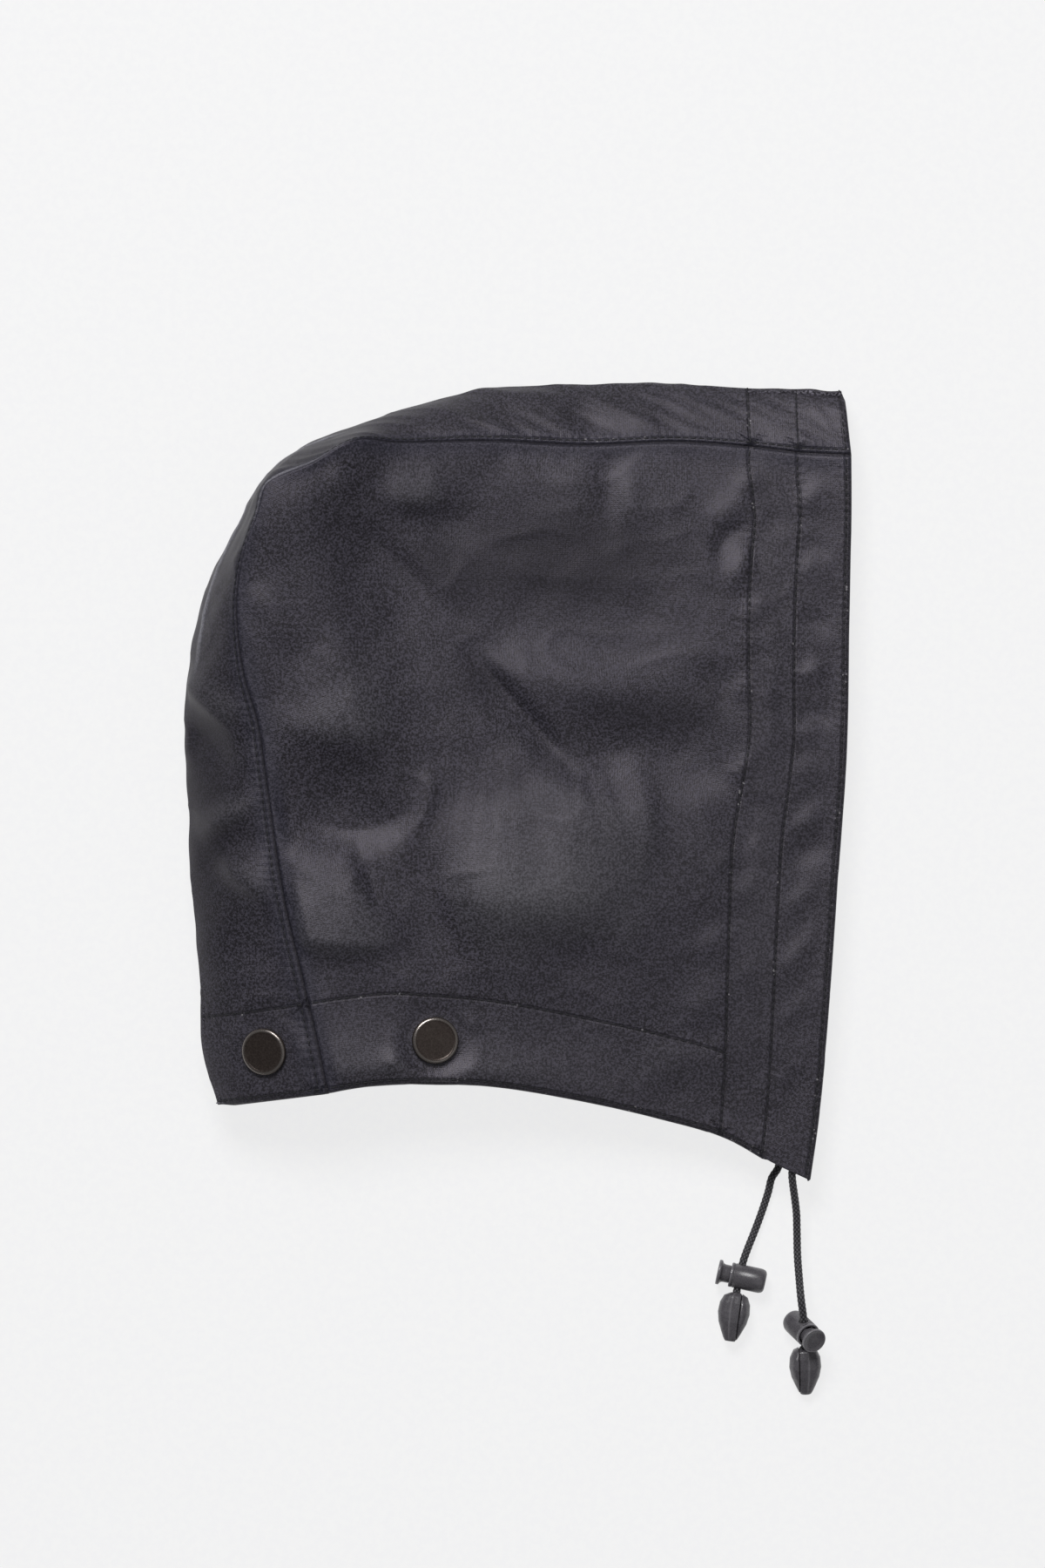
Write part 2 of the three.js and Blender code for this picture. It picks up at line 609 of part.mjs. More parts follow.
for (const [side, panel] of Object.entries({ left: lower, right: upper })) {
  const { fromFace, button, through, clip } = cordEnds[side];
  const { beforeLock, lock, afterLock } = cordRoutes[side];
  const column = columns - fromFace / (channelWidth / channelColumns);
  const inChannel = [0.8, 0.4, 0].map((row) => within(panel, column, row, cordDepth));
  const lockFrame = frameAt(vector(lock), vector(button), vector(through));
  const inLock = [-1, 0, 1].map((place) => new THREE.Vector3(place * (barrelRadius + 1.2), 0, 0)
    .applyMatrix4(lockFrame));
  const route = [...inChannel, ...beforeLock.map(vector), ...inLock, ...afterLock.map(vector)];
  add(side + '_cord', cordGeometry(route), blackCord);
  add(side + '_lock_barrel', barrelGeometry(), blackPlastic).applyMatrix4(lockFrame);
  add(side + '_lock_button', buttonGeometry(), blackPlastic).applyMatrix4(lockFrame);
  const back = route.at(-2).clone().sub(route.at(-1)).normalize();
  const top = route.at(-1).clone().addScaledVector(back, cordEndSocket - cordClearance);
  const endFrame = frameAt(top, back, vector(clip));
  add(side + '_cord_end_shell', cordEndPart(-1), blackPlastic).applyMatrix4(endFrame);
  add(side + '_cord_end_clip', cordEndPart(1), blackPlastic).applyMatrix4(endFrame);
}

export default hood;
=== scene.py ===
# %% [markdown]
# # A detachable rain hood of waxed cotton, laid on its side
# The hood lies on its left side on a pale surface and is seen from straight above: the crown is at the top and
# the face opening at the right. Three panels make its shape, a left and a right side and a strip that runs from
# the brow over the crown to the nape. The measured model gives every size and place, in metres, and this lesson
# dresses it: cloth with folds and stitches, press studs, and the drawcord's two ends.

# %% Load the measured model
import math

import bpy
import numpy as np
from mathutils import Matrix, Vector


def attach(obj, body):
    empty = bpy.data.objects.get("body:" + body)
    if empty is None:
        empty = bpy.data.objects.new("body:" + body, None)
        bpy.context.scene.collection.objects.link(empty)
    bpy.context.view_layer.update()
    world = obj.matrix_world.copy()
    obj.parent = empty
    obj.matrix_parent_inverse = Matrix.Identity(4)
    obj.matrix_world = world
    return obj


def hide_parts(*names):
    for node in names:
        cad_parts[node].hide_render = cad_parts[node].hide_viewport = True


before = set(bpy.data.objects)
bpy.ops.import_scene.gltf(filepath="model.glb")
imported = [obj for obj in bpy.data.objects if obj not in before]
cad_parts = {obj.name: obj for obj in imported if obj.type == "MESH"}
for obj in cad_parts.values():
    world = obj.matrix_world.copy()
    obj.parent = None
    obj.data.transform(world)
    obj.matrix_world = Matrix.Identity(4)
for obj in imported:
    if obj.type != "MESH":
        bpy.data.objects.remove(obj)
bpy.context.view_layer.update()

MM = 0.001

# %% [markdown]
# ## The camera
# The photographer stood well away and looked straight down, so nearer folds look no larger than farther ones. A
# long lens high above the surface does the same, framed so that 594 mm fit in the picture's height.

# %% Camera
PICTURE_HEIGHT = 0.594
CAMERA_HEIGHT = 8.0
CLOTH_HEIGHT = 0.02

camera = bpy.data.objects.new("camera", bpy.data.cameras.new("camera"))
bpy.context.collection.objects.link(camera)
camera.location = (1.65 * MM, -0.17 * MM, CAMERA_HEIGHT)
camera.data.sensor_fit = "VERTICAL"
camera.data.sensor_height = 36
camera.data.sensor_width = 24
camera.data.lens = 36 * (CAMERA_HEIGHT - CLOTH_HEIGHT) / PICTURE_HEIGHT
camera.data.clip_end = 40
bpy.context.scene.camera = camera
bpy.context.scene.view_settings.view_transform = "Standard"
print("lens", round(camera.data.lens), "mm")

# %% [markdown]
# ## The shape of the hood
# A hood hangs from a few lines: the seam of its strip, the outline beyond it, the neck hem and the face edge. They
# are the same rows that the measured model uses, written as shares of the hood's depth, height and loft. A smooth
# curve runs through each, and the cloth is stretched between the curves, so that both models have one shape.

# %% Sizes and lines of the hood
DEPTH, HEIGHT, LOFT = 252.8 * MM, 302.6 * MM, 54 * MM
CLOTH, PLY_GAP, BELLY = 1.2 * MM, 0.3 * MM, 5 * MM
CHANNEL_WIDTH, CASING_WIDTH = 20.4 * MM, 38.5 * MM
NECK_BAND_NAPE, NECK_BAND_CHIN = 35 * MM, 31 * MM
BODY_COLUMNS, CASING_COLUMNS, CHANNEL_COLUMNS, NECK_ROWS, BODY_ROWS = 14, 2, 4, 3, 17
COLUMNS = BODY_COLUMNS + CASING_COLUMNS + CHANNEL_COLUMNS
ROWS = NECK_ROWS + BODY_ROWS
CROWN_RIB = 10
LINE_PARTS = 24  # points of a smooth line from one row to the next

RIBS = [  # seam along, seam up, outline along, outline up, loft: from the nape to the brow
    (0.2155, 0.1120, 0.0490, 0.0930, 0.78), (0.1945, 0.1960, 0.0240, 0.1940, 0.80),
    (0.1790, 0.2510, 0.0235, 0.2490, 0.82), (0.1490, 0.3590, 0.0120, 0.3580, 0.84),
    (0.1230, 0.5040, 0.0035, 0.4940, 0.86), (0.1100, 0.5760, 0.0000, 0.5700, 0.88),
    (0.0890, 0.6360, 0.0045, 0.6360, 0.91), (0.0780, 0.7230, 0.0250, 0.7230, 0.95),
    (0.0880, 0.7870, 0.0560, 0.7870, 0.98), (0.1080, 0.8350, 0.0900, 0.8370, 1.00),
    (0.1240, 0.8740, 0.1170, 0.8780, 1.00), (0.1950, 0.9020, 0.1860, 0.9260, 0.99),
    (0.2560, 0.9300, 0.2620, 0.9480, 0.93), (0.3200, 0.9270, 0.3380, 0.9720, 0.77),
    (0.4540, 0.9290, 0.4540, 0.9950, 0.61), (0.6000, 0.9240, 0.6000, 1.0000, 0.50),
    (0.7400, 0.9280, 0.7420, 0.9995, 0.43), (0.8640, 0.9210, 0.8590, 0.9950, 0.39),
    (0.9210, 0.9150, 0.9180, 0.9950, 0.375), (1.0000, 0.9120, 0.9890, 0.9935, 0.37),
]
HEM = [
    (0.2820, 0.1200, 0.74), (0.3760, 0.1230, 0.69), (0.4700, 0.1190, 0.62), (0.6000, 0.1010, 0.52),
    (0.7200, 0.0780, 0.43), (0.8120, 0.0550, 0.37), (0.8820, 0.0220, 0.34),
]
CHIN = [(0.9380, 0.0000, 0.33)]
FACE = [
    (0.9530, 0.0880, 0.34), (0.9660, 0.2080, 0.36), (0.9800, 0.3740, 0.38), (0.9930, 0.5340, 0.39),
    (0.9970, 0.7000, 0.385), (1.0000, 0.8500, 0.375),
]


def placed(rows):
    """Shares of the hood's depth, height and loft as points in metres."""
    rows = np.array(rows, float)
    return (rows - [0.5, 0.5, 0]) * [DEPTH, HEIGHT, LOFT]


def smooth_line(points):
    """A line through points that turns gently at each of them."""
    points = np.asarray(points, float)
    padded = np.vstack([2 * points[0] - points[1], points, 2 * points[-1] - points[-2]])
    t = np.linspace(0, 1, LINE_PARTS, endpoint=False)[:, None]
    line = []
    for a, b, c, d in zip(padded[:-3], padded[1:-2], padded[2:-1], padded[3:]):
        ab, bc, cd = (np.linalg.norm(end - start) ** 0.5 for start, end in ((a, b), (b, c), (c, d)))
        leave = ((b - a) / ab - (c - a) / (ab + bc) + (c - b) / bc) * bc
        arrive = ((c - b) / bc - (d - b) / (bc + cd) + (d - c) / cd) * bc
        line.append(b + leave * t + (3 * (c - b) - 2 * leave - arrive) * t ** 2
                    + (2 * (b - c) + leave + arrive) * t ** 3)
    return np.vstack([*line, points[-1:]])


def lengths(line):
    """How far each point of a line is from its start, along it."""
    return np.concatenate([[0], np.cumsum(np.linalg.norm(np.diff(line, axis=0), axis=1))])


def between(rows, known, wanted):
    """Points or directions between the rows of a table, which are known at some lengths."""
    return np.stack([np.interp(wanted, known, rows[:, k]) for k in range(3)], axis=-1)


def at_length(line, length, measured_on=None):
    """Points of a line at given lengths from its start."""
    return between(line, lengths(line if measured_on is None else measured_on), length)


seam = smooth_line(placed([(r[0], r[1], r[4]) for r in RIBS]))
outline = smooth_line(placed([(r[2], r[3], r[4] / 2) for r in RIBS]))
hem = smooth_line(np.vstack([seam[:1], placed(HEM + CHIN)]))
face = smooth_line(np.vstack([placed(CHIN + FACE), seam[-1:]]))
seam_length, hem_length, face_length = lengths(seam)[-1], lengths(hem)[-1], lengths(face)[-1]
back_length = lengths(seam)[LINE_PARTS * CROWN_RIB]
crown_length = seam_length - back_length
print("seam", round(seam_length / MM), "hem", round(hem_length / MM), "face edge", round(face_length / MM), "mm")

# %% Cloth stretched between the lines
CASING_BEND, BEND_LOW, BEND_RISE, BEND_TOP, BEND_FALL = 5.2, -30, 55, 126, 30
BEND_SHARES = [(7, 0), (BODY_COLUMNS, 1), (BODY_COLUMNS + CASING_COLUMNS, 0.58), (COLUMNS, 0)]


def across_stops(total):
    """Lengths along the crown or the hem at each column; casing and channel keep their true width."""
    inner, line = total - CASING_WIDTH, total - CHANNEL_WIDTH
    return np.concatenate([np.linspace(0, inner, BODY_COLUMNS + 1),
                           np.linspace(inner, line, CASING_COLUMNS + 1)[1:],
                           np.linspace(line, total, CHANNEL_COLUMNS + 1)[1:]])


def band_stops(total, band):
    """Lengths along the back or the face edge at each row; the neck band keeps its true width."""
    return np.concatenate([np.linspace(0, band, NECK_ROWS + 1), np.linspace(band, total, BODY_ROWS + 1)[1:]])


crown_stops, hem_stops = across_stops(crown_length), across_stops(hem_length)
back_stops, face_stops = band_stops(back_length, NECK_BAND_NAPE), band_stops(face_length, NECK_BAND_CHIN)


def gently(share):
    """A soft step from 0 to 1."""
    share = np.clip(share, 0, 1)
    return share * share * (3 - 2 * share)


def side_base(column, row):
    """The side panel without its folds: column 0 is the seam, column 20 the face edge, row 0 the neck hem."""
    u, v = (column / COLUMNS)[..., None], (row / ROWS)[..., None]
    crown = at_length(seam, back_length + np.interp(column, range(COLUMNS + 1), crown_stops))
    back = at_length(seam, np.interp(row, range(ROWS + 1), back_stops))
    low = at_length(hem, np.interp(column, range(COLUMNS + 1), hem_stops))
    front = at_length(face, np.interp(row, range(ROWS + 1), face_stops))
    place = low * (1 - v) + crown * v + back * (1 - u) + front * u
    place -= (seam[0] * (1 - u) * (1 - v) + hem[-1] * u * (1 - v)
              + seam[LINE_PARTS * CROWN_RIB] * (1 - u) * v + seam[-1] * u * v)
    held = (np.minimum(1, 5 * u) * np.minimum(1, 4 * (1 - u)) * np.minimum(1, 5 * v)
            * np.minimum(1, 5 * (1 - v)))[..., 0]
    place[..., 2] += held * BELLY * np.sin(np.pi * u[..., 0]) * np.sin(np.pi * v[..., 0])
    y = place[..., 1] / MM  # the casing's lines bend towards the face edge over a stretch of their height
    drawn = CASING_BEND * gently((y - BEND_LOW) / BEND_RISE) * gently((BEND_TOP - y) / BEND_FALL)
    place[..., 0] += drawn * np.interp(column, *zip(*BEND_SHARES)) * MM
    return place


middle = side_base(np.array([10.0]), np.array([10.0]))[0]
print("the middle of the side panel stands", round(middle[2] / MM, 1), "mm above the surface")

# %% [markdown]
# ## Folds
# Waxed cotton is stiff with wax. Folded and worn, it keeps soft ridges, sharp creases where it was pressed, and
# puckers where a stitch line draws it in. Each fold of the photograph is one row below: three points that it runs
# through, how high it rises or sinks, how wide it is on its left and right, and how sharp its crest is. All are
# added up over the cloth, with some gentle unevenness. The numbers are millimetres and were judged.

# %% Folds of the upper side panel
SIDE_FOLDS = [  # x, y at the start, the middle and the end, height, width left, width right, sharpness
    (-80.9, 101.5, -49.5, 85.6, -21.4, 52.6, -2.5, 9, 20, 0.2),  # long valley from the crown, soft half
    (-29.7, 60.9, 0.0, 28.9, 30.7, -7.4, -2.6, 6.5, 13, 0.45),  # the same valley where it is creased
    (-46.2, -35.8, 8.2, -43.1, 64.4, -28.2, 5.0, 42, 22, 0.0),  # broad ridge that rises from the valley
    (39.9, 13.0, 48.5, -15.0, 39.9, -43.1, 1.5, 8, 26, 0.2),  # crisp end of the broad ridge
    (1.7, 16.3, 18.2, -1.8, 41.2, -11.7, 0.7, 12, 12, 0.1),  # shoulder between crease and ridge
    (-104.6, 6.4, -67.0, -17.3, -29.7, -0.2, -4.2, 36, 13, 0.2),  # hollow under the back seam
    (-97.4, 28.9, -64.4, 21.0, -34.6, 36.1, 2.1, 26, 12, 0.05),  # crest north of the hollow
    (-36.6, 13.0, -35.3, -10.1, -51.2, -24.9, 1.0, 6, 5, 0.35),  # thin ridge beside the hollow
    (-117.2, -43.1, -74.2, -59.6, -34.6, -54.9, 3.4, 36, 7, 0.3),  # foot of the three-cornered facet
    (-63.0, -19.3, -55.8, -35.8, -50.5, -53.6, -1.4, 13, 6, 0.35),  # east side of the facet
    (-41.2, -20.0, -31.4, -46.4, -24.8, -77.7, -1.1, 16, 12, 0.0),  # soft trough below the hollow
    (-103.0, 76.4, -94.1, 64.2, -84.8, 46.0, 0.9, 8, 7, 0.1),  # streaks below the crown
    (-109.9, 65.8, -102.3, 55.9, -97.4, 41.1, 0.6, 6, 6, 0.15),
    (-60.4, 102.8, -33.0, 98.8, -6.6, 100.8, -1.0, 8, 16, 0.1),  # level crease under the top seam
    (-56.1, 110.7, -38.6, 108.1, -18.2, 111.4, 2.0, 14, 8, 0.05),  # pads above that crease
    (-73.6, 112.0, -66.0, 113.4, -59.4, 118.6, 0.8, 9, 6, 0.1),
    (-73.6, 102.8, -69.3, 94.2, -62.0, 102.8, -0.6, 5, 6, 0.3),  # small notch
    (-24.8, 110.1, 31.4, 112.0, 84.2, 110.1, 1.0, 14, 36, 0.0),  # soft shoulder under the top seam
    (34.6, 131.8, 35.3, 110.4, 36.6, 85.6, -0.8, 9, 9, 0.1),  # upright crease
    (41.9, 126.9, 41.2, 108.7, 38.9, 88.9, 0.6, 7, 7, 0.1),  # ridge beside it
    (-24.8, 53.3, 18.2, 41.1, 67.7, 30.9, 1.5, 22, 14, 0.0),  # ridge over the front pool
    (-5.0, 22.3, 47.9, 11.7, 97.4, 17.7, -2.3, 20, 20, 0.05),  # edge of the front pool
    (67.0, 50.0, 77.5, 36.1, 84.8, 20.3, -0.9, 9, 9, 0.1),  # pool beside the casing
    (78.5, 75.7, 78.2, 92.9, 94.1, 96.9, -0.9, 4.5, 6, 0.2),  # curled pucker
    (81.5, 69.1, 84.2, 82.3, 90.1, 88.3, 0.9, 5, 6, 0.15),
    (71.6, 95.5, 79.5, 103.5, 90.1, 112.0, 0.8, 7, 7, 0.1),
    (38.0, -68.8, 43.9, -57.9, 50.2, -48.0, 0.7, 9, 9, 0.1),  # streaks at the lower front
    (62.4, -93.9, 71.6, -83.3, 81.5, -73.4, 0.9, 9, 10, 0.1),
    (35.6, -117.6, 56.1, -107.4, 76.9, -95.2, 0.7, 10, 10, 0.1),
    (-23.4, -93.9, -18.2, -90.3, -13.2, -96.5, 0.7, 5, 6, 0.3),  # puckers beside the side stud
    (-50.5, -109.1, -46.2, -104.8, -41.2, -101.1, 0.8, 6, 6, 0.3),
    (-117.2, -111.7, -31.4, -111.7, 84.2, -138.1, 1.8, 22, 10, 0.1),  # stiff neck band that turns up
    (-57.8, 69.1, 14.9, 52.0, 87.5, 58.6, -2.2, 44, 16, 0.0),  # soft slope of the upper body
    (54.5, -0.2, 67.7, -26.6, 67.7, -59.6, 0.8, 18, 18, 0.0),
    (14.9, -46.4, 21.4, -66.2, 18.2, -86.0, -0.7, 16, 16, 0.0),
    (-109.9, 19.6, -104.0, -20.0, -91.4, -66.2, 0.8, 9, 10, 0.0),
]
STRIP_FOLDS = [
    (-128.4, 44.4, -117.2, 30.9, -100.7, 14.4, 3.3, 12, 6, 0.3),  # folds across the back
    (-128.7, 26.2, -117.2, 13.7, -103.3, 2.5, -2.3, 9, 8, 0.2),
    (-121.8, -21.9, -109.9, -12.7, -92.1, -1.8, 2.9, 9, 7, 0.3),
    (-123.1, -31.8, -109.9, -26.6, -96.7, -17.3, -2.1, 9, 8, 0.2),
    (-120.5, -16.7, -103.3, -35.8, -85.5, -46.4, 2.8, 12, 7, 0.25),
    (-114.5, -53.6, -100.7, -62.2, -82.5, -63.5, -1.3, 13, 12, 0.0),  # trough at the nape
    (-109.9, -86.0, -100.7, -82.7, -93.4, -75.4, 0.7, 5, 6, 0.2),  # puckers beside the nape stud
    (-84.2, -96.5, -80.2, -100.8, -76.9, -107.7, 0.7, 4, 5, 0.25),
    (-38.0, 133.8, -29.7, 141.7, -19.5, 137.8, 0.7, 7, 5, 0.1),  # pads along the crown
    (14.9, 144.4, 25.4, 139.1, 35.3, 132.5, -0.8, 9, 9, 0.1),
    (-14.9, 138.4, 1.7, 146.7, 21.4, 142.4, 0.7, 8, 8, 0.1),
    (38.6, 131.8, 47.2, 138.4, 55.1, 140.4, 0.5, 9, 9, 0.1),
    (-100.7, 109.4, -87.5, 120.3, -73.6, 131.2, 1.2, 2.5, 3, 0.8),  # cracks in the wax at the corner
    (-113.2, 92.9, -104.0, 102.1, -94.1, 114.7, 1.0, 3, 3, 0.8),
    (-123.8, 61.9, -117.8, 77.4, -109.2, 94.9, 1.0, 3, 3, 0.7),
    (-82.5, 112.0, -73.6, 121.3, -63.0, 127.9, 0.9, 2.5, 3, 0.8),
]
PUCKER_LINES = [  # small slanting folds that the stitch lines draw up: x, y three times, and the height
    (80.2, 110.1, 86.1, 113.4, 94.1, 119.3, 0.55),  # between the two lines of the casing
    (91.4, 102.1, 96.7, 99.5, 101.6, 92.9, -0.4),
    (82.8, 60.6, 89.4, 65.2, 96.7, 73.8, 0.6),
    (86.8, 52.0, 91.4, 48.7, 100.7, 45.4, -0.4),
    (76.2, 30.9, 84.8, 36.1, 90.1, 42.7, 0.55),
    (88.1, 28.9, 94.1, 32.8, 100.0, 39.4, 0.4),
    (77.5, -0.8, 84.2, 5.1, 89.4, 13.0, 0.6),
    (84.8, -11.7, 90.1, -8.4, 98.3, -15.0, -0.45),
    (86.8, -20.6, 92.1, -23.9, 99.3, -33.2, 0.5),
    (67.7, -33.8, 77.5, -29.9, 82.8, -21.6, 0.5),
    (80.2, -46.4, 86.8, -39.8, 94.1, -30.5, 0.45),
    (64.4, -65.5, 73.6, -59.6, 80.9, -49.7, 0.5),
    (78.2, -79.4, 84.8, -72.1, 94.1, -65.5, 0.4),
    (66.3, -109.1, 74.2, -101.1, 81.5, -92.6, 0.4),
    (104.6, 102.1, 110.6, 108.1, 116.5, 117.0, 0.7),  # between the second line and the edge
    (104.6, 91.6, 111.9, 88.9, 120.5, 82.3, -0.5),
    (105.3, 76.4, 110.6, 82.3, 115.2, 90.9, 0.55),
    (104.0, 65.8, 112.5, 60.6, 123.1, 59.2, -0.5),
    (104.6, 37.5, 111.2, 42.7, 116.5, 48.7, 0.7),
    (103.3, 30.9, 111.9, 25.6, 122.4, 22.9, -0.55),
    (102.6, 16.3, 110.6, 20.3, 117.2, 24.3, 0.6),
    (101.3, -1.8, 107.9, 4.8, 111.9, 13.0, 0.5),
    (100.7, -20.6, 108.9, -14.7, 115.8, -5.1, 0.8),
    (100.0, -28.2, 107.9, -26.6, 120.5, -19.3, -0.6),
    (98.0, -51.3, 107.2, -43.1, 115.2, -32.5, 0.7),
    (96.7, -76.1, 105.9, -64.5, 116.5, -50.3, 0.85),
    (95.4, -92.6, 104.6, -86.0, 113.9, -76.1, 0.5),
    (93.4, -117.6, 102.3, -109.7, 111.9, -100.8, 0.4),
]
PUCKER_LEFT, PUCKER_RIGHT, PUCKER_SHARPNESS = 5.0, 6.0, 0.1
PUCKERS = [(*row, PUCKER_LEFT, PUCKER_RIGHT, PUCKER_SHARPNESS) for row in PUCKER_LINES]
# Patches of painted light and shade: the cloth is painted lighter where light falls on it and darker where it lies
# in shade.
PAINTED_SHADING_PATCHES = [  # x, y, reach across and along in millimetres, lighter or darker
    (18.2, 85.6, 46, 20, -1.0),  # upper body
    (-31.4, 82.3, 16, 12, -0.4),
    (-11.6, 41.1, 11, 11, -0.5),
    (51.2, 26.2, 34, 10, -0.7),  # front pool
    (14.9, 9.7, 8, 9, -0.4),
    (-64.4, 6.4, 22, 15, -0.4),  # hollow
    (-36.0, 118.0, 16, 7, 1.0),  # crown pads
    (33.0, -21.6, 17, 17, 0.7),  # end of the broad ridge
    (-1.7, -1.8, 16, 12, -0.4),
    (-57.8, 44.4, 15, 13, 0.5),  # patch under the back seam
    (112.2, -46.4, 8, 34, 0.8),  # turned front edge
    (108.9, 92.2, 8, 26, 0.3),
    (92.7, -43.1, 8, 40, 0.9),  # casing
    (94.1, 85.6, 8, 24, 0.6),
    (-31.4, -99.2, 64, 11, 0.5),  # neck band
    (-121.0, -8.0, 18, 66, -0.9),  # back of the strip
    (14.9, 140.1, 60, 10, -0.5),  # top of the strip
    (34.6, -72.8, 40, 12, -0.2),  # lower body
    (49.5, -0.2, 26, 10, -0.2),  # under the pool
]


def painted_shading_tone(x, y):
    """Painted light and shade: from 1, painted lighter where light falls on the cloth, down to -1, painted darker
    where it lies in shade.
    """
    return np.clip(sum(amount * np.exp(-((x - middle_x) / across) ** 2 - ((y - middle_y) / along) ** 2)
                       for middle_x, middle_y, across, along, amount in PAINTED_SHADING_PATCHES), -1, 1)


FOLD_PARTS = 12
FOLD_END = 0.44  # share of a fold's length over which it rises at its start and sinks at its end


def fold_height(x, y, rows):
    """Height of all folds over places x, y, in millimetres."""
    total = np.zeros_like(x)
    t = np.linspace(0, 1, FOLD_PARTS + 1)
    for x0, y0, x1, y1, x2, y2, height, left, right, sharp in rows:
        bend_x, bend_y = 2 * x1 - (x0 + x2) / 2, 2 * y1 - (y0 + y2) / 2
        line_x = (1 - t) ** 2 * x0 + 2 * t * (1 - t) * bend_x + t ** 2 * x2
        line_y = (1 - t) ** 2 * y0 + 2 * t * (1 - t) * bend_y + t ** 2 * y2
        away, gone, side = np.full_like(x, 1e9), np.zeros_like(x), np.zeros_like(x)
        for k in range(FOLD_PARTS):
            way_x, way_y = line_x[k + 1] - line_x[k], line_y[k + 1] - line_y[k]
            dx, dy = x - line_x[k], y - line_y[k]
            share = np.clip((dx * way_x + dy * way_y) / (way_x ** 2 + way_y ** 2), 0, 1)
            distance = np.hypot(dx - share * way_x, dy - share * way_y)
            nearer = distance < away
            away = np.where(nearer, distance, away)
            gone = np.where(nearer, (k + share) / FOLD_PARTS, gone)
            side = np.where(nearer, way_x * dy - way_y * dx, side)
        reach = away / np.where(side > 0, left, right)
        profile = sharp * np.clip(1 - reach, 0, 1) ** 1.6 + (1 - sharp) * np.exp(-1.6 * reach ** 2)
        total += height * gently(gone / FOLD_END) * gently((1 - gone) / FOLD_END) * profile
    return total


def waves(x, y, seed, longest, count=14):
    """Gentle unevenness between -1 and 1: waves that cross each other at chosen random slants."""
    chance = np.random.RandomState(seed)
    total = np.zeros_like(x)
    for _ in range(count):
        length, turn, start = longest * chance.uniform(0.5, 1), chance.uniform(0, np.pi), chance.uniform(0, 7)
        total += np.sin(2 * np.pi * (x * np.cos(turn) + y * np.sin(turn)) / length + start)
    return total / count ** 0.5


def wax_creases(x, y, seed, size):
    """Where waxed cloth has been crushed it keeps thin ridges between flat facets."""
    first, second = waves(x, y, seed, size), waves(x, y, seed + 1, size)
    return np.clip(1 - 1.6 * np.abs(first), 0, 1) ** 2 * np.clip(0.5 + second, 0, 1)


print(len(SIDE_FOLDS), "folds on the side,", len(STRIP_FOLDS), "on the strip and", len(PUCKERS), "puckers")

# %% Where the press studs sit
STUD_CAP_RADIUS, STUD_CAP_HEIGHT, STUD_LIFT_REACH = 8.9 * MM, 1.9 * MM, 24 * MM
STUDS = ("right_side_stud", "right_nape_stud", "left_nape_stud", "left_side_stud")


def largest_face(node):
    """Middle and normal of the largest flat face of a measured solid."""
    mesh = bpy.data.objects[node].data
    mesh.calc_loop_triangles()
    co = np.array([v.co for v in mesh.vertices])
    corners = co[np.array([t.vertices for t in mesh.loop_triangles])]
    cross = np.cross(corners[:, 1] - corners[:, 0], corners[:, 2] - corners[:, 0])
    area = np.linalg.norm(cross, axis=1)
    groups = {}
    for k in np.argsort(-area):
        way = cross[k] / max(area[k], 1e-15)
        plane = round(float(corners[k, 0] @ way) / (0.4 * MM))
        groups.setdefault((plane, *np.round(way, 1)), []).append(k)
    best = max(groups.values(), key=lambda members: area[members].sum())
    normal = cross[best].sum(0)
    weights = area[best][:, None]
    return (corners[best].mean(1) * weights).sum(0) / weights.sum(), normal / np.linalg.norm(normal)


stud_seats = {}
for name in STUDS:
    under_cap, into_cloth = largest_face(name)
    stud_seats[name] = (under_cap, -into_cloth)
    print(name, "sits at", np.round(under_cap / MM, 1), "and faces", np.round(-into_cloth, 2))

# %% Surfaces of the three panels


def from_edges(column, row):
    """Distances in millimetres from the back and crown seam, the face edge and the neck hem."""
    seam_gap = np.minimum(np.interp(column, range(COLUMNS + 1), (hem_stops + crown_stops) / 2),
                          back_length - np.interp(row, range(ROWS + 1), back_stops))
    face_gap = np.interp(column, range(COLUMNS + 1), hem_length - hem_stops)
    hem_gap = np.interp(row, range(ROWS + 1), (back_stops + face_stops) / 2)
    return seam_gap / MM, face_gap / MM, hem_gap / MM


def relief(x, y):
    """All that the upper side panel rises and sinks, in millimetres."""
    return (1.4 * fold_height(x, y, SIDE_FOLDS + PUCKERS) + 0.3 * waves(x, y, 5, 60)
            + 0.10 * waves(x, y, 6, 22) + 0.25 * wax_creases(x, y, 9, 46))


FLAT_REACH, FLAT_FADE, DIP, DIP_RADIUS, DIP_REACH = 9.5, 9, 0.35, 10.5, 2  # millimetres round a stud
SAME_LAYER = 20 * MM


def held_by_stud(place, name):
    """The two plates of a press stud hold the cloth between them flat, and it dips a little round them."""
    seat, facing = stud_seats[name]
    above = (place - seat) @ facing
    away = np.linalg.norm(place - seat - above[..., None] * facing, axis=-1) / MM
    held = 1 - gently((away - FLAT_REACH) / FLAT_FADE)
    dip = DIP * MM * np.exp(-((away - DIP_RADIUS) / DIP_REACH) ** 2)
    move = np.where(np.abs(above) < SAME_LAYER, held * (-PLY_GAP - above) - dip, 0)
    return place + move[..., None] * facing


SEAM_DEPTH, SEAM_REACH = 0.9, 0.8


def seam_groove(seam_gap):
    """How deep a seam draws the cloth in, in millimetres."""
    return SEAM_DEPTH * np.exp(-(seam_gap / SEAM_REACH) ** 2)


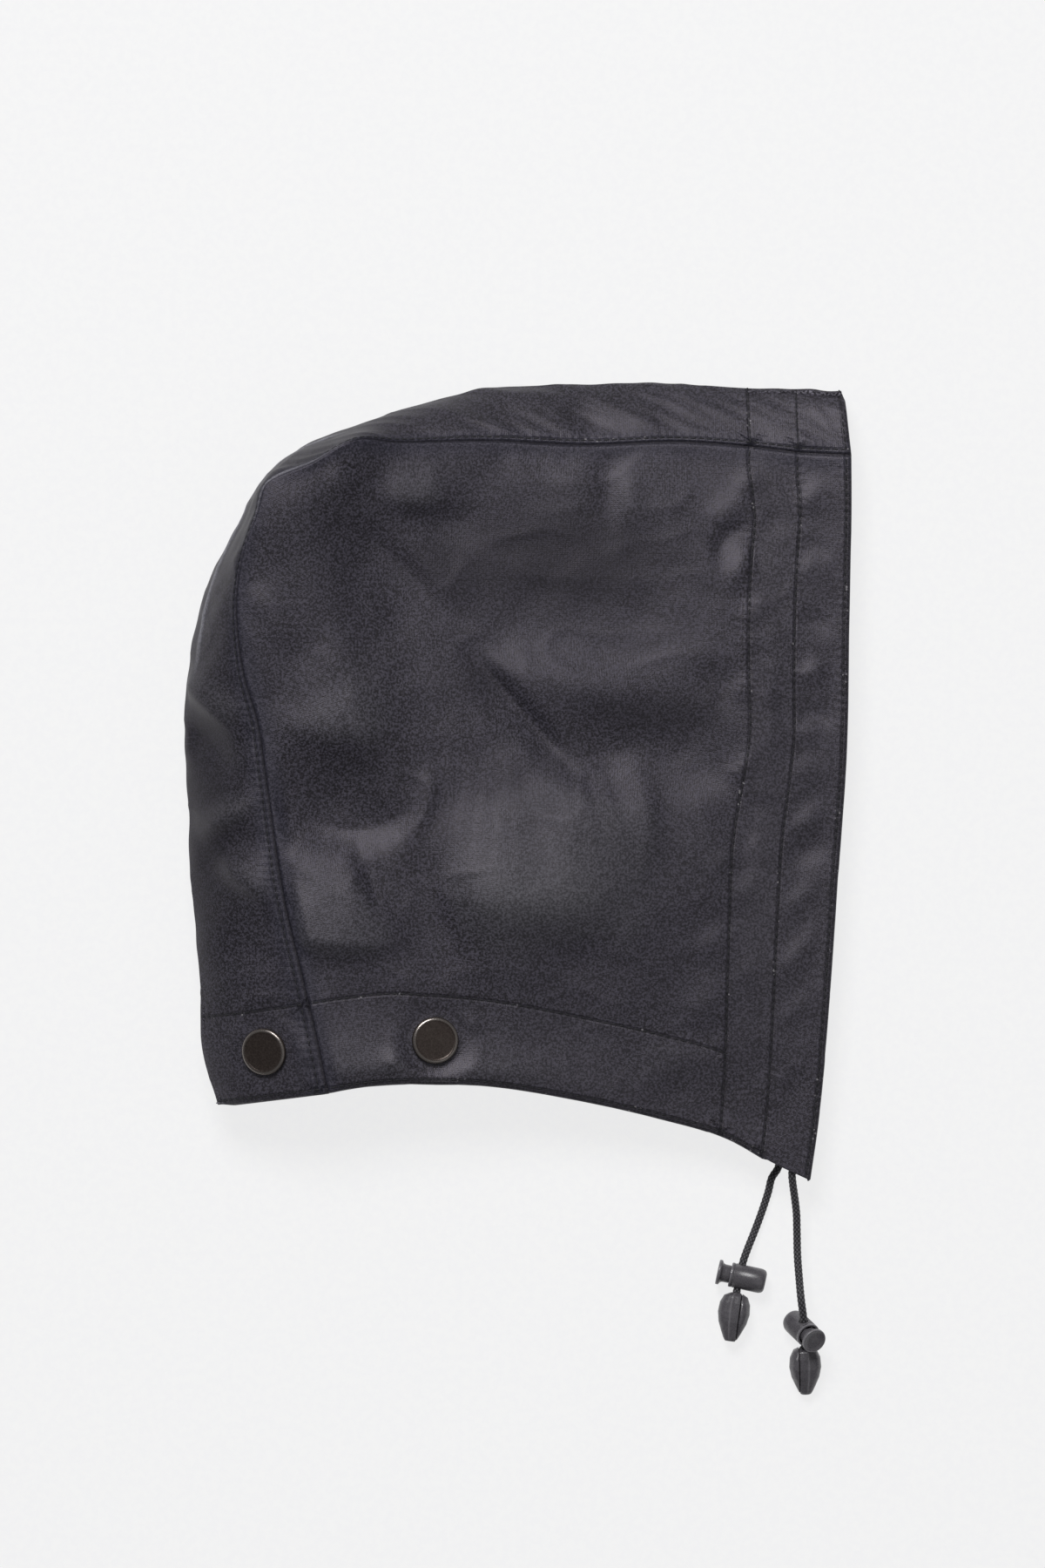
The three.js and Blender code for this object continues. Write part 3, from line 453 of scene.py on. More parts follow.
def side_surface(column, row):
    """The right side panel with its folds, which fade out towards its seam and edges."""
    place = side_base(column, row)
    x, y = place[..., 0] / MM, place[..., 1] / MM
    seam_gap, face_gap, hem_gap = from_edges(column, row)
    height = relief(x, y) * gently(seam_gap / 7) * (0.45 + 0.55 * gently(face_gap / 9))
    height = height * (0.4 + 0.6 * gently(hem_gap / 8)) - seam_groove(seam_gap)
    place[..., 2] += height * MM
    return held_by_stud(place, "right_side_stud")


def lower_surface(column, row):
    """The left side panel lies flat, apart from where a press stud holds it up."""
    place = side_base(column, row)
    stud_x, stud_y = stud_seats["left_side_stud"][0][:2]
    away = np.hypot(place[..., 0] - stud_x, place[..., 1] - stud_y) - STUD_CAP_RADIUS
    lift = (STUD_CAP_HEIGHT + PLY_GAP) * (1 - gently((away - MM) / (STUD_LIFT_REACH - MM)))
    x, y = place[..., 0] / MM, place[..., 1] / MM
    seam_gap, face_gap, hem_gap = from_edges(column, row)
    inside = gently(seam_gap / 6) * gently(face_gap / 6) * gently(hem_gap / 6) * gently(away / MM / 10)
    wrinkles = (0.35 + 0.3 * waves(x, y, 15, 40) + 0.4 * wax_creases(x, y, 19, 40)).clip(0)
    place[..., 2] = lift + inside * wrinkles * MM
    return place


def strip_base(station, cell):
    """The centre strip without folds: station 0 is the brow and 40 the nape, cell 0 the upper seam, 1 the lower."""
    length = np.where(station <= COLUMNS,
                      back_length + np.interp(COLUMNS - station, range(COLUMNS + 1), crown_stops),
                      np.interp(ROWS + COLUMNS - station, range(ROWS + 1), back_stops))
    inner, outer = at_length(seam, length), at_length(outline, length, measured_on=seam)
    out = (np.sin(np.pi * cell) + 1 - np.abs(1 - 2 * cell)) / 2
    drop = (cell + (1 - np.cos(np.pi * cell)) / 2) / 2
    place = inner + (outer - inner) * out[..., None]
    place[..., 2] = inner[..., 2] * (1 - drop)
    return place


def facing_out(surface, first, second, step=0.02, turn=1):
    """Normals of a surface by small steps along it."""
    along = surface(first + step, second) - surface(first - step, second)
    across = surface(first, second + step) - surface(first, second - step)
    normal = np.cross(along, across) * turn
    return normal / np.maximum(np.linalg.norm(normal, axis=-1, keepdims=True), 1e-12)


def strip_normals(station, cell):
    """Normals of the strip without its folds, also right at its ends."""
    def inside(first, second):
        return strip_base(np.clip(first, 0, COLUMNS + ROWS), np.clip(second, 0, 1))
    return facing_out(inside, station, cell, 0.01, turn=-1)


def outward_normals(surface, first, second):
    """Normals that point out of the hood, on either side panel or on the strip."""
    if surface is strip_surface:
        return strip_normals(first, second)
    return facing_out(surface, first, second, turn=1 if surface is side_surface else -1)


STRIP_HALF_WIDTH = 38 * MM
RUBBED_CORNER = ((-90, 120), 19)  # middle and reach of two patches at the crown corner, in millimetres
CRACKED_CORNER = ((-88, 112), 42)
WORN_RISE = 0.45
CREST_CELL, CREST_REACH = 0.37, 0.020
RIDGE_FROM_SEAM, RIDGE_REACH = 1.3, 0.55


def near_corner(x, y, corner):
    """1 in the middle of a corner's patch, fading out around it."""
    (middle_x, middle_y), reach = corner
    return np.exp(-((x - middle_x) ** 2 + (y - middle_y) ** 2) / reach ** 2)


def worn_crest(x, y, cell, seam_gap):
    """Round the crown the strip was folded flat: its crest and the seam beside it are rubbed to thin pale ridges."""
    crest = np.exp(-((cell - CREST_CELL) / CREST_REACH) ** 2) * gently((y - 35) / 25) * gently((-62 - x) / 12)
    beside_seam = np.exp(-((seam_gap - RIDGE_FROM_SEAM) / RIDGE_REACH) ** 2) * (cell < 0.5)
    return crest + 0.9 * near_corner(x, y, RUBBED_CORNER) * beside_seam


def strip_surface(station, cell):
    """The centre strip with its folds, which lie on its upper half; it never sinks below what it rests on."""
    place, normal = strip_base(station, cell), strip_normals(station, cell)
    x, y = place[..., 0] / MM, place[..., 1] / MM
    seam_gap = np.minimum(cell, 1 - cell) * 2 * STRIP_HALF_WIDTH / MM
    height = 1.2 * fold_height(x, y, STRIP_FOLDS) * gently((0.5 - cell) / 0.12)
    height += (0.3 * waves(x + 90 * cell, y, 25, 42) + 0.14 * waves(x + 90 * cell, y, 26, 18)
               + 0.3 * wax_creases(x + 90 * cell, y, 29, 34))
    height *= gently(seam_gap / 6) * (1 - 0.8 * gently((cell - 0.6) / 0.3))
    height += WORN_RISE * worn_crest(x, y, cell, seam_gap) - seam_groove(seam_gap)
    place += normal * (height * MM)[..., None]
    for name in ("right_nape_stud", "left_nape_stud"):
        place = held_by_stud(place, name)
    place[..., 2] = np.maximum(place[..., 2], 0)
    return place


print("the strip is", round(2 * STRIP_HALF_WIDTH / MM), "mm wide on average")

# %% [markdown]
# ## The drawcord's two ends
# One cord runs through the channel behind the face edge and comes out of each end of it at the neck. Each end
# passes through a sprung lock and finishes in an end piece that is snapped over its knot. The free ends are short
# and limp: out of the mouth of the channel, down to the surface, and up again into the lock's hole. The braid is
# shaped as a tube whose skin rises and falls as two sets of strands cross, which keeps it light.

# %% Routes of the cord ends
CORD_DIAMETER, CORD_CLEARANCE = 3 * MM, 0.3 * MM
BARREL_RADIUS = 4.7 * MM
LOCK_REACH = BARREL_RADIUS + 1.2 * MM  # the cord runs straight this far either side of the middle of its lock
CORD_ENDS = {
    "left": {
        "from_face": 13.2, "button": (-0.977, 0.212, 0), "through": (-0.212, -0.977, 0), "clip": (1, 0, 0),
        "before_lock": [(96.3, -149.8, 2.6), (95, -155, 1.8), (92.4, -163, 1.65), (89.8, -170, 2.1),
                        (87.3, -176.2, 3.6)],
        "lock": (84.2, -187.1, 4.9), "after_lock": (82.4, -196.9, 4.95),
    },
    "right": {
        "from_face": 7.5, "button": (0.45, -0.42, 0.788), "through": (0.05, -0.865, -0.49), "clip": (-1, 0, 0),
        "before_lock": [(104.2, -152, 13.6), (104.9, -157, 11.6), (105.6, -163, 9.4), (105.8, -170, 8.4),
                        (106, -179, 8.8), (106.6, -187.5, 11.4), (107.3, -195.5, 14.8)],
        "lock": (108.5, -207.7, 10.45), "after_lock": (108.9, -217.3, 6.3),
    },
}


def frame_at(origin, z, x_side):
    """The turn and move that stand a piece made along +Z along another direction."""
    z = Vector(z).normalized()
    x = Vector(x_side)
    x = (x - z * x.dot(z)).normalized()
    turn = Matrix((x, z.cross(x), z)).transposed().to_4x4()
    return Matrix.Translation(Vector(origin)) @ turn


def cord_route(side):
    """Points of a cord end in metres, from inside the channel to its end piece, and the frame of its lock."""
    facts = CORD_ENDS[side]
    column = np.full(3, COLUMNS - facts["from_face"] * MM * CHANNEL_COLUMNS / CHANNEL_WIDTH)
    row = np.array([0.8, 0.4, 0.0])
    base = side_base(column, row)
    normal = facing_out(side_base, column, np.maximum(row, 0.05))
    if side == "left":
        base[:, 2], normal = 0, np.tile([0, 0, -1], (3, 1))
    channel = base - normal * (CLOTH + CORD_CLEARANCE + CORD_DIAMETER / 2)
    lock = frame_at(np.array(facts["lock"]) * MM, facts["button"], facts["through"])
    straight = [lock @ Vector((k * LOCK_REACH, 0, 0)) for k in (-1, 0, 1)]
    points = [*channel, *np.array(facts["before_lock"]) * MM, *straight, np.array(facts["after_lock"]) * MM]
    return np.array([list(point) for point in points]), lock


CORD_POINTS = 260
cords, locks = {}, {}
for side in CORD_ENDS:
    points, locks[side] = cord_route(side)
    line = smooth_line(points)
    cords[side] = at_length(line, np.linspace(0, lengths(line)[-1], CORD_POINTS))
    print(side, "cord end is", round(lengths(line)[-1] / MM, 1), "mm long")

# %% Helpers to make pieces with Blender's tools
SAME_POINT = 0.01 * MM
ABOVE_SURFACE = 0.02 * MM


def nothing_selected():
    if bpy.context.object and bpy.context.object.mode != "OBJECT":
        bpy.ops.object.mode_set(mode="OBJECT")
    bpy.ops.object.select_all(action="DESELECT")


def work_on(piece):
    nothing_selected()
    piece.select_set(True)
    bpy.context.view_layer.objects.active = piece
    return piece


def grid_piece(name, across, along):
    """A flat net of squares, whose points are then laid on a surface, and how far across and along each is."""
    nothing_selected()
    bpy.ops.mesh.primitive_grid_add(x_subdivisions=across, y_subdivisions=along, size=2)
    piece = bpy.context.object
    piece.name = piece.data.name = name
    co = np.empty(len(piece.data.vertices) * 3)
    piece.data.vertices.foreach_get("co", co)
    co = co.reshape(-1, 3)
    return piece, (co[:, 0] + 1) / 2, (co[:, 1] + 1) / 2


def net_line(share, count):
    """Which of a net's lines each point lies on."""
    return np.rint(share * (count - 1)).astype(int)


def lay(piece, places):
    """Moves the points of a piece to their places."""
    piece.data.vertices.foreach_set("co", np.ascontiguousarray(places, float).ravel())
    piece.data.update()


def in_edit_mode(piece, *steps, wanted=None):
    """Edit-mode steps on the whole mesh, or on the faces that are wanted, found by their place and normal."""
    work_on(piece)
    bpy.ops.object.mode_set(mode="EDIT")
    bpy.ops.mesh.select_mode(type="FACE" if wanted else "VERT")
    bpy.ops.mesh.select_all(action="DESELECT" if wanted else "SELECT")
    if wanted:
        bpy.ops.object.mode_set(mode="OBJECT")
        for face in piece.data.polygons:
            face.select = wanted(face)
        bpy.ops.object.mode_set(mode="EDIT")
    for step in steps:
        step()
    bpy.ops.object.mode_set(mode="OBJECT")


def faces_outwards(piece):
    in_edit_mode(piece, lambda: bpy.ops.mesh.normals_make_consistent(inside=False))


def closed_tube(piece):
    """Merges the two edges that meet along a net rolled into a tube, and fills the tube's ends."""
    in_edit_mode(piece, lambda: bpy.ops.mesh.remove_doubles(threshold=SAME_POINT),
                 lambda: bpy.ops.mesh.select_all(action="DESELECT"),
                 lambda: bpy.ops.mesh.select_non_manifold(extend=False),
                 lambda: bpy.ops.mesh.fill_holes(sides=0))
    faces_outwards(piece)


def add_modifier(piece, kind, **values):
    """Adds a modifier and applies it at once."""
    work_on(piece)
    modifier = piece.modifiers.new(kind.title(), kind)
    for name, value in values.items():
        setattr(modifier, name, value)
    bpy.ops.object.modifier_apply(modifier=modifier.name)


def attribute(piece, name, values):
    layer = piece.data.attributes.new(name, "FLOAT", "POINT")
    layer.data.foreach_set("value", np.ascontiguousarray(values, float))


def rounded(piece, angle):
    """Smooth shading, with edges kept crisp where faces meet at more than an angle."""
    work_on(piece)
    bpy.ops.object.shade_smooth_by_angle(angle=math.radians(angle))


def finished(piece, finish, angle):
    """One finish all over a piece, in place of what cutting tools have left on it."""
    piece.data.materials.clear()
    piece.data.materials.append(finish)
    rounded(piece, angle)


def belongs(piece, body, slot, *nodes):
    """Says what a finished piece moves with, and hides the measured solids that it stands for; what it is finished
    like, its slot, is not used.
    """
    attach(piece, body)
    if nodes:
        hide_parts(*nodes)
    return piece


# %% The braid
BRAID_STRANDS = 6
BRAID_PITCH = 10.5 * MM
BRAID_RISE = 0.2 * MM
CORD_SIDES, CORD_STEP = 64, 0.24 * MM


def level_frames(path):
    """Directions across a path that turn as little as they can from point to point."""
    ways = np.gradient(path, axis=0)
    ways /= np.linalg.norm(ways, axis=1, keepdims=True)
    side = np.cross(ways[0], [0.0, 0.0, 1.0])
    sides = []
    for way in ways:
        side = side - way * side.dot(way)
        side = side / np.linalg.norm(side)
        sides.append(side)
    sides = np.array(sides)
    return sides, np.cross(ways, sides)


def braid_height(around, along):
    """How high the strands stand, from 0 to 1: each goes over one and under the next."""
    first = BRAID_STRANDS * (around + along / BRAID_PITCH)
    second = BRAID_STRANDS * (around - along / BRAID_PITCH)
    over = (np.floor(first) + np.floor(second)) % 2 < 1
    across = np.where(over, first, second) % 1
    lengthwise = np.where(over, second, first) % 1
    return np.sin(np.pi * across) ** 0.6 * (0.55 + 0.45 * np.sin(np.pi * lengthwise))


def braided_cord(name, path):
    """A tube along a path, whose skin rises with the strands."""
    gone = lengths(path)
    cord, u, v = grid_piece(name, CORD_SIDES, int(gone[-1] / CORD_STEP))
    run = v * gone[-1]
    spot = at_length(path, run)
    side, up = (between(ways, gone, run) for ways in level_frames(path))
    height = braid_height(u % 1, run)
    radius = CORD_DIAMETER / 2 - BRAID_RISE * (1 - height)
    turn = 2 * np.pi * u
    lay(cord, spot + (side * np.cos(turn)[:, None] + up * np.sin(turn)[:, None]) * radius[:, None])
    attribute(cord, "strand", height)
    attribute(cord, "around", u)
    attribute(cord, "along", run)
    closed_tube(cord)
    rounded(cord, 80)
    return cord


cord_pieces = {}
for side, path in cords.items():
    cord_pieces[side] = braided_cord(side + "_drawcord_end", path)
    print(side, "drawcord end has", len(cord_pieces[side].data.polygons), "faces")

# %% [markdown]
# ## Materials
# Nothing here is a picture: each finish is computed from where a point lies. Two effects are shared by several
# materials and are built once as groups: a fine grain, and the wear that handling leaves. The cloth reads its own
# attributes as well, so that its stitch lines, seams and crests show where they really are.

# %% Helpers for materials
def add_node(tree, kind, inputs=None, **settings):
    """A node with its settings made and each of its inputs linked to another node or set to a plain value."""
    made = tree.nodes.new(kind)
    for name, value in settings.items():
        setattr(made, name, value)
    for name, value in (inputs or {}).items():
        if isinstance(value, bpy.types.NodeSocket):
            tree.links.new(value, made.inputs[name])
        else:
            made.inputs[name].default_value = value
    return made


def maths(tree, operation, *values):
    return add_node(tree, "ShaderNodeMath", dict(enumerate(values)), operation=operation).outputs[0]


def ranged(tree, value, low, high, out_low=0.0, out_high=1.0, kind="SMOOTHSTEP"):
    """Turns the range from low to high into another range."""
    return add_node(tree, "ShaderNodeMapRange", {"Value": value, "From Min": low, "From Max": high,
                                                 "To Min": out_low, "To Max": out_high},
                    interpolation_type=kind).outputs["Result"]


def mixed(tree, share, first, second, blend="MIX"):
    """A share of the second colour over the first. A plain colour is three numbers."""
    first, second = ((*value, 1) if isinstance(value, tuple) else value for value in (first, second))
    return add_node(tree, "ShaderNodeMix", {0: share, 6: first, 7: second}, data_type="RGBA",
                    blend_type=blend).outputs[2]


def own_attribute(tree, name):
    return add_node(tree, "ShaderNodeAttribute", attribute_name=name).outputs["Fac"]


def noise(tree, vector, scale, detail, roughness=0.5, kind="FBM", distortion=0.0):
    return add_node(tree, "ShaderNodeTexNoise", {"Vector": vector, "Scale": scale, "Detail": detail,
                                                 "Roughness": roughness, "Distortion": distortion},
                    noise_type=kind).outputs["Fac"]


def effect(name, inputs, outputs):
    """An empty node group with named inputs and outputs."""
    tree = bpy.data.node_groups.new(name, "ShaderNodeTree")
    for label, kind, value in inputs:
        socket = tree.interface.new_socket(label, in_out="INPUT", socket_type=kind)
        if value is not None:
            socket.default_value = value
    for label in outputs:
        tree.interface.new_socket(label, in_out="OUTPUT", socket_type="NodeSocketFloat")
    return tree, tree.nodes.new("NodeGroupInput").outputs, tree.nodes.new("NodeGroupOutput").inputs


def put(tree, group, **values):
    """Places a shared effect in a material, with the values that it has there."""
    return add_node(tree, "ShaderNodeGroup", values, node_tree=group).outputs


def material(name, **settings):
    """A material with its shader, whose plain values are set on the shader's own sockets."""
    made = bpy.data.materials.new(name)
    made.use_nodes = True
    tree = made.node_tree
    shader = tree.nodes["Principled BSDF"]
    for label, value in settings.items():
        shader.inputs[label.replace("_", " ")].default_value = value
    place = add_node(tree, "ShaderNodeTexCoord").outputs["Object"]
    return made, tree, shader.inputs, place


def raise_surface(tree, sockets, height, strength=1.0):
    """Turns a height in millimetres into light and shade."""
    bump = add_node(tree, "ShaderNodeBump", {"Height": height, "Distance": MM, "Strength": strength})
    tree.links.new(bump.outputs["Normal"], sockets["Normal"])


# %% Shared effects: fine grain and handling wear
grain, given, result = effect("fine grain", [("Place", "NodeSocketVector", None),
                                             ("Size", "NodeSocketFloat", 1.0)], ["Height", "Tone"])
grain_scale = maths(grain, "DIVIDE", 1000.0, given["Size"])
coarse = noise(grain, given["Place"], grain_scale, 3.0, 0.65)
cells = add_node(grain, "ShaderNodeTexVoronoi", {"Vector": given["Place"],
                                                 "Scale": maths(grain, "MULTIPLY", grain_scale, 1.7)},
                 feature="SMOOTH_F1")
grain.links.new(maths(grain, "MULTIPLY_ADD", cells.outputs["Distance"], 0.6, coarse), result["Height"])
grain.links.new(ranged(grain, coarse, 0.36, 0.64), result["Tone"])

wear, given, result = effect("handling wear", [("Place", "NodeSocketVector", None),
                                               ("Size", "NodeSocketFloat", 20.0),
                                               ("Amount", "NodeSocketFloat", 0.5)], ["Mask"])
patches = noise(wear, given["Place"], maths(wear, "DIVIDE", 1000.0, given["Size"]), 5.0, 0.6)
threshold = maths(wear, "SUBTRACT", 0.72, maths(wear, "MULTIPLY", given["Amount"], 0.3))
wear.links.new(ranged(wear, patches, threshold, 0.78), result["Mask"])
print("effects:", [group.name for group in bpy.data.node_groups])

# %% [markdown]
# ### Waxed cotton
# Waxed cotton is a tight plain weave full of wax. It is almost black with a cast of navy, and softly shiny. Seen
# close it has the weave's grain; where it was folded the wax has cracked and looks a little lighter. Along each
# stitch line the cloth is drawn in, and here and there a crumb of wax sits on the thread. Its stitch grooves and
# seams are darkened with painted shadow. Patches of painted light and shade make it lighter where light falls on it
# and darker where it lies in shade, and the doubled bands are painted lighter.

# %% Waxed cotton
# Painted light and shade: the first colour paints the doubled bands lighter, and the next two paint patches lighter
# where light falls and darker where shade lies.
PAINTED_LIGHT_ON_DOUBLED, PAINTED_LIGHT_TONE, PAINTED_SHADE_TONE = (0.044, 0.041, 0.050), (0.052, 0.049, 0.058), (0.006, 0.0055, 0.0085)
CREASED_WAX, WORN_RIDGE, WAX_CRUMB = (0.066, 0.065, 0.072), (0.230, 0.230, 0.262), (0.20, 0.19, 0.20)
SHADOW, NAVY_SEAM = (0.004, 0.004, 0.006), (0.017, 0.019, 0.036)
STITCH_SPACING = 3.0


def yarns(tree, cloth_map, scale, way):
    return add_node(tree, "ShaderNodeTexWave", {"Vector": cloth_map, "Scale": scale, "Distortion": 1.2,
                                                "Detail": 1.0, "Detail Scale": 0.6},
                    bands_direction=way).outputs["Fac"]


def waxed_cotton(name, depth):
    """The finish of the cloth; depth is its own colour, and what it reads of a piece is in millimetres."""
    made, tree, sockets, place = material(name, Specular_IOR_Level=0.5, Specular_Tint=(0.97, 0.90, 1.0, 1.0))
    cloth_map = add_node(tree, "ShaderNodeUVMap", uv_map="cloth").outputs["UV"]
    fine = put(tree, grain, Place=place, Size=0.85)
    rubbed = put(tree, wear, Place=place, Size=34.0, Amount=0.55)["Mask"]
    gap, run = own_attribute(tree, "stitch_gap"), own_attribute(tree, "stitch_run")
    crest, doubled = own_attribute(tree, "crest"), own_attribute(tree, "doubled")

    weave = maths(tree, "MAXIMUM", yarns(tree, cloth_map, 430.0, "X"), yarns(tree, cloth_map, 400.0, "Y"))
    stretched = add_node(tree, "ShaderNodeMapping", {"Vector": place, "Rotation": (0.0, 0.0, 0.7),
                                                     "Scale": (1.0, 1.7, 1.0)}).outputs[0]
    crushed = noise(tree, stretched, 55.0, 4.0, 0.55, "RIDGED_MULTIFRACTAL", 0.6)
    crazed = noise(tree, place, 190.0, 3.0, 0.6, "RIDGED_MULTIFRACTAL", 0.3)
    crack = maths(tree, "MULTIPLY", ranged(tree, crazed, 0.9, 1.5), ranged(tree, crushed, 0.5, 1.2))

    groove = ranged(tree, gap, 0.35, 1.05, 1.0, 0.0)
    drawn = ranged(tree, gap, 0.6, 5.5, 1.0, 0.0)
    beat = maths(tree, "SINE", maths(tree, "MULTIPLY", run, 2 * math.pi / STITCH_SPACING))
    stitched = maths(tree, "SUBTRACT", maths(tree, "MULTIPLY", maths(tree, "MULTIPLY", beat, drawn), 0.035),
                     maths(tree, "MULTIPLY", groove, 0.16))

    height = maths(tree, "MULTIPLY_ADD", fine["Height"], 0.09, stitched)
    height = maths(tree, "MULTIPLY_ADD", weave, 0.03, height)
    height = maths(tree, "MULTIPLY_ADD", ranged(tree, crushed, 0.2, 1.6, kind="LINEAR"), 0.14, height)
    height = maths(tree, "MULTIPLY_ADD", crack, 0.03, height)
    raise_surface(tree, sockets, height)

    dark, light = (tuple(share * value for value in depth) for share in (0.12, 1.9))
    colour = mixed(tree, fine["Tone"], dark, light)
    broad = ranged(tree, noise(tree, place, 16.0, 3.0), 0.3, 0.7)
    colour = mixed(tree, maths(tree, "MULTIPLY", broad, 0.35), colour, tuple(1.5 * v for v in depth))
    # Painted light: the doubled casing and neck band are painted lighter, as they catch more light than the body.
    colour = mixed(tree, maths(tree, "MULTIPLY", doubled, 0.22), colour, PAINTED_LIGHT_ON_DOUBLED)
    # Painted light and shade: patches of the cloth are painted lighter where light falls on them and darker where
    # they lie in shade.
    painted_shading = own_attribute(tree, "painted_shading")
    colour = mixed(tree, ranged(tree, painted_shading, 0.0, 1.0, 0.0, 0.34), colour, PAINTED_LIGHT_TONE)
    colour = mixed(tree, ranged(tree, painted_shading, -1.0, 0.0, 0.68, 0.0), colour, PAINTED_SHADE_TONE)
    lit = maths(tree, "MULTIPLY", maths(tree, "ADD", crack, ranged(tree, crest, 0.3, 3.0)), 0.3)
    lit = maths(tree, "MULTIPLY_ADD", ranged(tree, crest, 3.2, 8.0), 0.5, lit)
    colour = mixed(tree, lit, colour, CREASED_WAX)
    colour = mixed(tree, 1.0, colour, ranged(tree, fine["Tone"], 0.0, 1.0, 0.55, 1.40), "MULTIPLY")
    colour = mixed(tree, maths(tree, "MULTIPLY", groove, 0.72), colour, SHADOW)
    near_seam = ranged(tree, own_attribute(tree, "seam_gap"), 1.0, 9.0, 0.30, 0.0)
    colour = mixed(tree, near_seam, colour, NAVY_SEAM)
    in_seam = ranged(tree, own_attribute(tree, "seam_gap"), 0.2, 1.0, 0.8, 0.0)
    colour = mixed(tree, in_seam, colour, SHADOW)
    worn = maths(tree, "MULTIPLY", own_attribute(tree, "worn"), ranged(tree, fine["Tone"], 0.0, 1.0, 0.5, 0.95))
    colour = mixed(tree, worn, colour, WORN_RIDGE)
    crumbs = add_node(tree, "ShaderNodeTexVoronoi", {"Vector": place, "Scale": 620.0}, feature="F1")
    crumb = maths(tree, "MULTIPLY", ranged(tree, crumbs.outputs["Distance"], 0.20, 0.30, 1.0, 0.0),
                  ranged(tree, gap, 0.5, 1.3, 1.0, 0.0))
    chosen = ranged(tree, noise(tree, place, 140.0, 1.0), 0.60, 0.66)
    colour = mixed(tree, maths(tree, "MULTIPLY", crumb, chosen), colour, WAX_CRUMB)
    tree.links.new(colour, sockets["Base Color"])

    gloss = maths(tree, "MULTIPLY_ADD", fine["Tone"], 0.08, 0.44)
    gloss = maths(tree, "MULTIPLY_ADD", rubbed, -0.05, gloss)
    gloss = maths(tree, "MULTIPLY_ADD", broad, 0.06, gloss)
    tree.links.new(maths(tree, "MULTIPLY_ADD", crack, 0.15, gloss), sockets["Roughness"])
    return made


outer_cotton = waxed_cotton("waxed cotton", (0.0196, 0.0183, 0.0246))
# Painted light: the lining face is the same cloth painted about four times lighter, which brightens the shade inside
# the hood.
inner_cotton_painted_lighter = waxed_cotton("inner face of the cotton painted lighter", (0.085, 0.080, 0.096))

# %% Thread, braid, metal and plastic
thread, tree, sockets, place = material("sewing thread", Specular_IOR_Level=0.35)
fine = put(tree, grain, Place=place, Size=0.5)
tree.links.new(mixed(tree, fine["Tone"], (0.006, 0.006, 0.008), (0.020, 0.019, 0.023)), sockets["Base Color"])
tree.links.new(maths(tree, "MULTIPLY_ADD", fine["Tone"], 0.2, 0.5), sockets["Roughness"])
raise_surface(tree, sockets, maths(tree, "MULTIPLY", fine["Height"], 0.05))

braid, tree, sockets, place = material("braided cord", Specular_IOR_Level=0.4, Sheen_Weight=0.15,
                                       Sheen_Roughness=0.5)
fine = put(tree, grain, Place=place, Size=0.35)
strand = own_attribute(tree, "strand")
around, along_cord = own_attribute(tree, "around"), own_attribute(tree, "along")
filaments = maths(tree, "SINE", maths(tree, "MULTIPLY", maths(tree, "MULTIPLY_ADD", along_cord, 620.0,
                                                              maths(tree, "MULTIPLY", around, 8.0)), 2 * math.pi))
# Painted shade: the cord is painted nearly black where its strands sink between each other, and lighter on their
# tops.
colour = mixed(tree, ranged(tree, strand, 0.45, 0.95), (0.003, 0.003, 0.004), (0.105, 0.100, 0.112))
colour = mixed(tree, maths(tree, "MULTIPLY", fine["Tone"], 0.25), colour, (0.020, 0.019, 0.023))
tree.links.new(colour, sockets["Base Color"])
tree.links.new(maths(tree, "MULTIPLY_ADD", fine["Tone"], 0.15, 0.55), sockets["Roughness"])
raise_surface(tree, sockets, maths(tree, "MULTIPLY_ADD", filaments, 0.012,
                                   maths(tree, "MULTIPLY", fine["Height"], 0.04)))

gunmetal, tree, sockets, place = material("gunmetal", Specular_IOR_Level=0.5)
fine = put(tree, grain, Place=place, Size=0.6)
rubbed = put(tree, wear, Place=place, Size=5.0, Amount=0.8)["Mask"]
# Painted highlight: the marked ring on the rim is painted bright, and the metal is also made shinier there.
edge = own_attribute(tree, "edge")
colour = mixed(tree, fine["Tone"], (0.040, 0.030, 0.026), (0.062, 0.048, 0.042))
colour = mixed(tree, maths(tree, "MULTIPLY", rubbed, 0.35), colour, (0.095, 0.080, 0.072))
colour = mixed(tree, maths(tree, "MULTIPLY", edge, 0.75), colour, (0.36, 0.33, 0.31))
tree.links.new(colour, sockets["Base Color"])
tree.links.new(maths(tree, "MULTIPLY_ADD", edge, 0.25, 0.68), sockets["Metallic"])
gloss = maths(tree, "MULTIPLY_ADD", fine["Tone"], 0.08, 0.30)
tree.links.new(maths(tree, "MULTIPLY_ADD", edge, -0.10, gloss), sockets["Roughness"])
raise_surface(tree, sockets, maths(tree, "MULTIPLY", fine["Height"], 0.012))

plastic, tree, sockets, place = material("moulded plastic", Specular_IOR_Level=0.5)
fine = put(tree, grain, Place=place, Size=0.45)
rubbed = put(tree, wear, Place=place, Size=4.0, Amount=0.7)["Mask"]
colour = mixed(tree, fine["Tone"], (0.070, 0.066, 0.074), (0.098, 0.092, 0.102))
colour = mixed(tree, maths(tree, "MULTIPLY", rubbed, 0.5), colour, (0.150, 0.143, 0.155))
